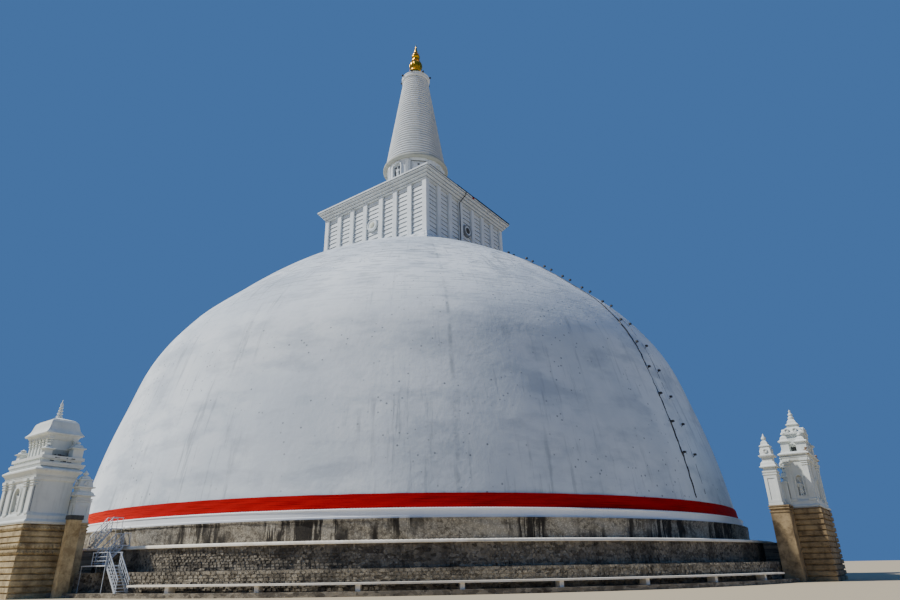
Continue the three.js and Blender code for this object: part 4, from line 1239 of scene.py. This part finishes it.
def bell_roof(name, kind, turn):
    """A roof with flared eaves, steep sides and a low hipped top, under a slim finial."""
    form = Form(turn)
    low, high = kind.storey_top, kind.roof_top
    outline = [
        (0.0, 1.34, 1.9), (0.02, 1.42, 1.99), (0.07, 1.45, 2.02), (0.13, 1.38, 1.94), (0.2, 1.28, 1.83),
        (0.3, 1.19, 1.73), (0.42, 1.13, 1.66), (0.55, 1.09, 1.61), (0.66, 1.04, 1.55), (0.73, 0.96, 1.46),
        (0.78, 0.84, 1.32), (0.8, 0.86, 1.34), (0.82, 0.8, 1.24), (0.88, 0.6, 0.92), (0.94, 0.42, 0.58),
        (1.0, 0.26, 0.26),
    ]
    form.stack(kind.centre, 0, [(low + share * (high - low), x, y) for share, x, y in outline])
    finial(form, kind.centre, high, kind.tip, 0.38)
    form.piece(f"{name}_roof_detail", FRONT_WHITE, [f"{name}_roof"], smooth=25)


def tiered_roof(name, kind, turn):
    """Two bell-shaped tiers with horseshoe ornaments and a stacked bulb at the top."""
    form = Form(turn)
    centre, low, high = kind.centre, kind.storey_top, kind.roof_top
    form.moulded(centre, 0, 0.85, 1.1, [
        (0, -0.04), (0.1, -0.04), (0.12, -0.1), (0.78, -0.1), (0.86, -0.02), (0.96, 0.0), (1.0, 0.11),
        (1.14, 0.12), *ogee(1.16, 1.72, 0.08, -0.38, 7),
    ], low)
    form.moulded(centre, 0, 0.44, 0.52, [
        (1.7, -0.04), (1.8, -0.06), (1.84, 0.02), (1.95, 0.04), (1.97, 0.1), (2.03, 0.1),
        *ogee(2.04, high - low, 0.08, -0.26, 7),
    ], low)
    for t in (-0.62, 0, 0.62):
        pilaster(form.at(centre + 0.78, t), 0.08, 0.08, low + 0.1, low + 0.85)
    ornament = [(0.22, -0.2), (0.22, 0.06), (0.19, 0.1), (0.13, 0.1), (0.11, 0.03), (0, 0.03)]
    for turned, reach, spots in ((0, 0.86, (-0.66, 0, 0.66)), (QUARTER, 1.1, (-0.5, 0.2))):
        for back in (0, 2 * QUARTER):
            for spot in spots:
                form.at(centre, 0, low + 1.36, turned + back).outwards(reach, spot).lathe(ornament, 14)
    form.at(centre).lathe([
        (0, -0.1), (0.2, -0.1), (0.26, 0.06), (0.27, 0.2), (0.17, 0.3), (0.15, 0.36), (0.21, 0.42),
        (0.21, 0.52), (0.1, 0.64), (0.06, 0.7), (0.1, 0.78), (0.1, 0.86), (0.03, 0.92),
        (0, kind.tip - high),
    ], 16, high)
    form.piece(f"{name}_roof_detail", FRONT_WHITE, [f"{name}_roof"], smooth=30)


def wing(name, kind, turn):
    """Two square piers with sunk panels and little tiered turrets, linked to the body."""
    form = Form(turn)
    piers = kind.wing
    rear, foot, top, rise = piers.rear, piers.foot, piers.top, piers.tip - piers.top
    s = (rear + piers.face) / 2
    half_s = (piers.face - rear) / 2 - 0.03
    half_t = piers.pier / 2 - 0.03
    below = (foot - top) / rise
    rows = [
        (below, 0.02), (below + 0.2 / rise, 0.02), (below + 0.25 / rise, -0.05), (-0.08 / rise, -0.05),
        (0, 0.03), (0.03, 0.03), (0.04, -0.06), (0.06, 0.03), (0.09, 0.03), (0.1, -0.08), (0.17, -0.08),
        (0.175, 0.14), (0.195, 0.15), *ogee(0.2, 0.31, 0.13, -0.08, 5),
        (0.315, -0.14), (0.41, -0.14), (0.42, 0.02), (0.44, 0.07), (0.46, 0.07), (0.47, -0.08),
        (0.6, -0.13), (0.66, -0.2), (0.67, -0.12), (0.69, -0.12),
        *ogee(0.695, 0.82, -0.16, 0.12 - half_s, 6),
    ]
    bulb = [(0.12, 0.81), (0.1, 0.84), (0.21, 0.86), (0.21, 0.89), (0.08, 0.94), (0.05, 0.97), (0, 1)]
    ornament = [(0.2, -0.1), (0.2, 0.08), (0.17, 0.12), (0.12, 0.12), (0.1, 0.05), (0, 0.06)]
    low, high = foot + 0.45, top - 0.3
    link = piers.outer - piers.pier / 2
    for side in SIDES:
        form.at(s, side * link).moulded(0, 0, half_s, half_t, rows, top, rise)
        form.lathe(bulb, 12, top, rise)
        for turned, (reach, width) in zip(FACES, ((half_s, half_t), (half_t, half_s)) * 2):
            form.at(s, side * link, 0, turned)
            edge, span = reach - 0.05, width - 0.05
            for z0, z1 in ((foot + 0.25, low), (high, top - 0.08)):
                form.block(edge - 0.02, edge + 0.05, -span, span, z0, z1)
            for t0, t1 in ((-span, -span + 0.2), (span - 0.2, span)):
                form.block(edge - 0.02, edge + 0.05, t0, t1, low, high)
            form.outwards(reach - 0.12, 0, top + 0.56 * rise).lathe(ornament, 14)
    body_half = kind.half + 0.5
    link_top = foot + 0.8 * (top - foot)
    form.at().block(rear + 0.25, piers.face - 0.1, -link, link, foot, link_top)
    form.block(rear + 0.25, piers.front, -body_half, body_half, foot, link_top)
    form.piece(f"{name}_wing_detail", FRONT_WHITE, [f"{name}_wing"])


def frontispieces():
    for name, kind, quarters in FRONTS:
        turn = quarters * QUARTER
        base_stones(name, kind, turn)
        if kind is BELL:
            carved_friezes(name, kind, turn)
        wall_trim(name, kind, turn)
        storey, roof = (bell_storey, bell_roof) if kind is BELL else (tiered_storey, tiered_roof)
        storey(name, kind, turn)
        roof(name, kind, turn)
        wing(name, kind, turn)


# Guard post and stair

def guard_stone():
    """Square stone post with a dark weathered cap."""
    centre, sizes, head = (46.175, 4.7), (0.425, 0.3), 5.3
    post = [(-head, 0), (-0.15, 0), (-0.1, 0.03), (-0.05, 0.03), (0, 0)]
    cap = [(0, 0), (0.03, 0.07), (0.3, 0.07), (0.32, 0.05)]
    form = Form(-QUARTER).moulded(*centre, *sizes, post, head)
    form.piece("guard_stone", LIMESTONE, ["guard_pillar"], "limestone")
    form = Form(-QUARTER).moulded(*centre, *sizes, cap, head)
    form.piece("guard_stone_cap", NEAR_BLACK_AND_SHADOW, slot="limestone")


def stair_rails():
    """Middle rails of the steel stair's flights and landing."""
    dress(STEEL, *nodes_from("stair_"))
    form = Form(-QUARTER)
    rails = [((44.35, t, 2.12), (43.0, t, 3.55)) for t in (5.19, 6.41)]
    rails += [((42.8, t, 3.47), (41.6, t, 5.03)) for t in (0.54, 1.46)]
    rails += [((s, 10.4, 0.3), (s, 8.6, 2.12)) for s in (44.24, 45.06)]
    rails.append(((45.17, 6.55, 2.12), (45.17, 8.57, 2.12)))
    for (s0, t0, z0), (s1, t1, z1) in rails:
        for rise in (0.28, 0.56):
            form.rod((s0, t0, z0 + rise), (s1, t1, z1 + rise), 0.02, 8)
    form.piece("stair_middle_rails", STEEL, slot="steel")


# Camera, floor and light

def camera():
    """The photo's own camera: rolled, then pitched up from level, then turned."""
    axes = Matrix.Identity(3)
    for angle, axis in ((CAMERA.turn, "Z"), (90 + CAMERA.pitch, "X"), (CAMERA.roll, "Z")):
        axes @= Matrix.Rotation(math.radians(angle), 3, axis)
    width, height = PICTURE
    data = bpy.data.cameras.new("camera")
    data.sensor_width = 36.0
    data.lens = CAMERA.focal / width * data.sensor_width
    data.shift_x = (width / 2 - CAMERA.centre[0]) / width
    data.shift_y = (CAMERA.centre[1] - height / 2) / width
    data.clip_end = 500.0
    made = place("camera", data)
    made.location = CAMERA.place
    made.rotation_euler = axes.to_euler()
    bpy.context.scene.camera = made


def floor():
    """A plain pale round floor, wide enough to reach the horizon."""
    sides, reach = 96, 260.0  # metres of the model
    mesh = bpy.data.meshes.new("floor")
    mesh.from_pydata([polar(reach, angle, 0) for angle in circle(sides)], [], [tuple(range(sides))])
    paint = Finish("floor_paint", 0.9)
    paint.put(paint.shader.inputs["Base Color"], colour("b9a98a"))
    mesh.materials.append(paint.material)
    made = place("floor", mesh)


def lights():
    """Soft key light from behind the camera's left and a plain blue surround."""
    sun = bpy.data.lights.new("key", "SUN")
    sun.energy = SUN.energy
    sun.angle = math.radians(1.5)
    sun.color = (1.0, 0.985, 0.95)
    height = math.radians(SUN.height)
    to_sun = Vector(polar(math.cos(height), math.radians(SUN.bearing), math.sin(height)))
    place("key", sun).rotation_euler = to_sun.to_track_quat("Z", "Y").to_euler()
    world = bpy.data.worlds.new("surround")
    world.use_nodes = True
    back = world.node_tree.nodes["Background"]
    back.inputs["Color"].default_value = colour("5d92dc")
    back.inputs["Strength"].default_value = 0.55
    bpy.context.scene.world = world


camera()
floor()
lights()
terraces()
dome_shell()
cloth_band()
lamp_line()
harmika_slats()
medallions()
harmika_cornice()
conductor()
drum_trim()
hood()
spire()
collar()
pinnacle()
frontispieces()
guard_stone()
stair_rails()
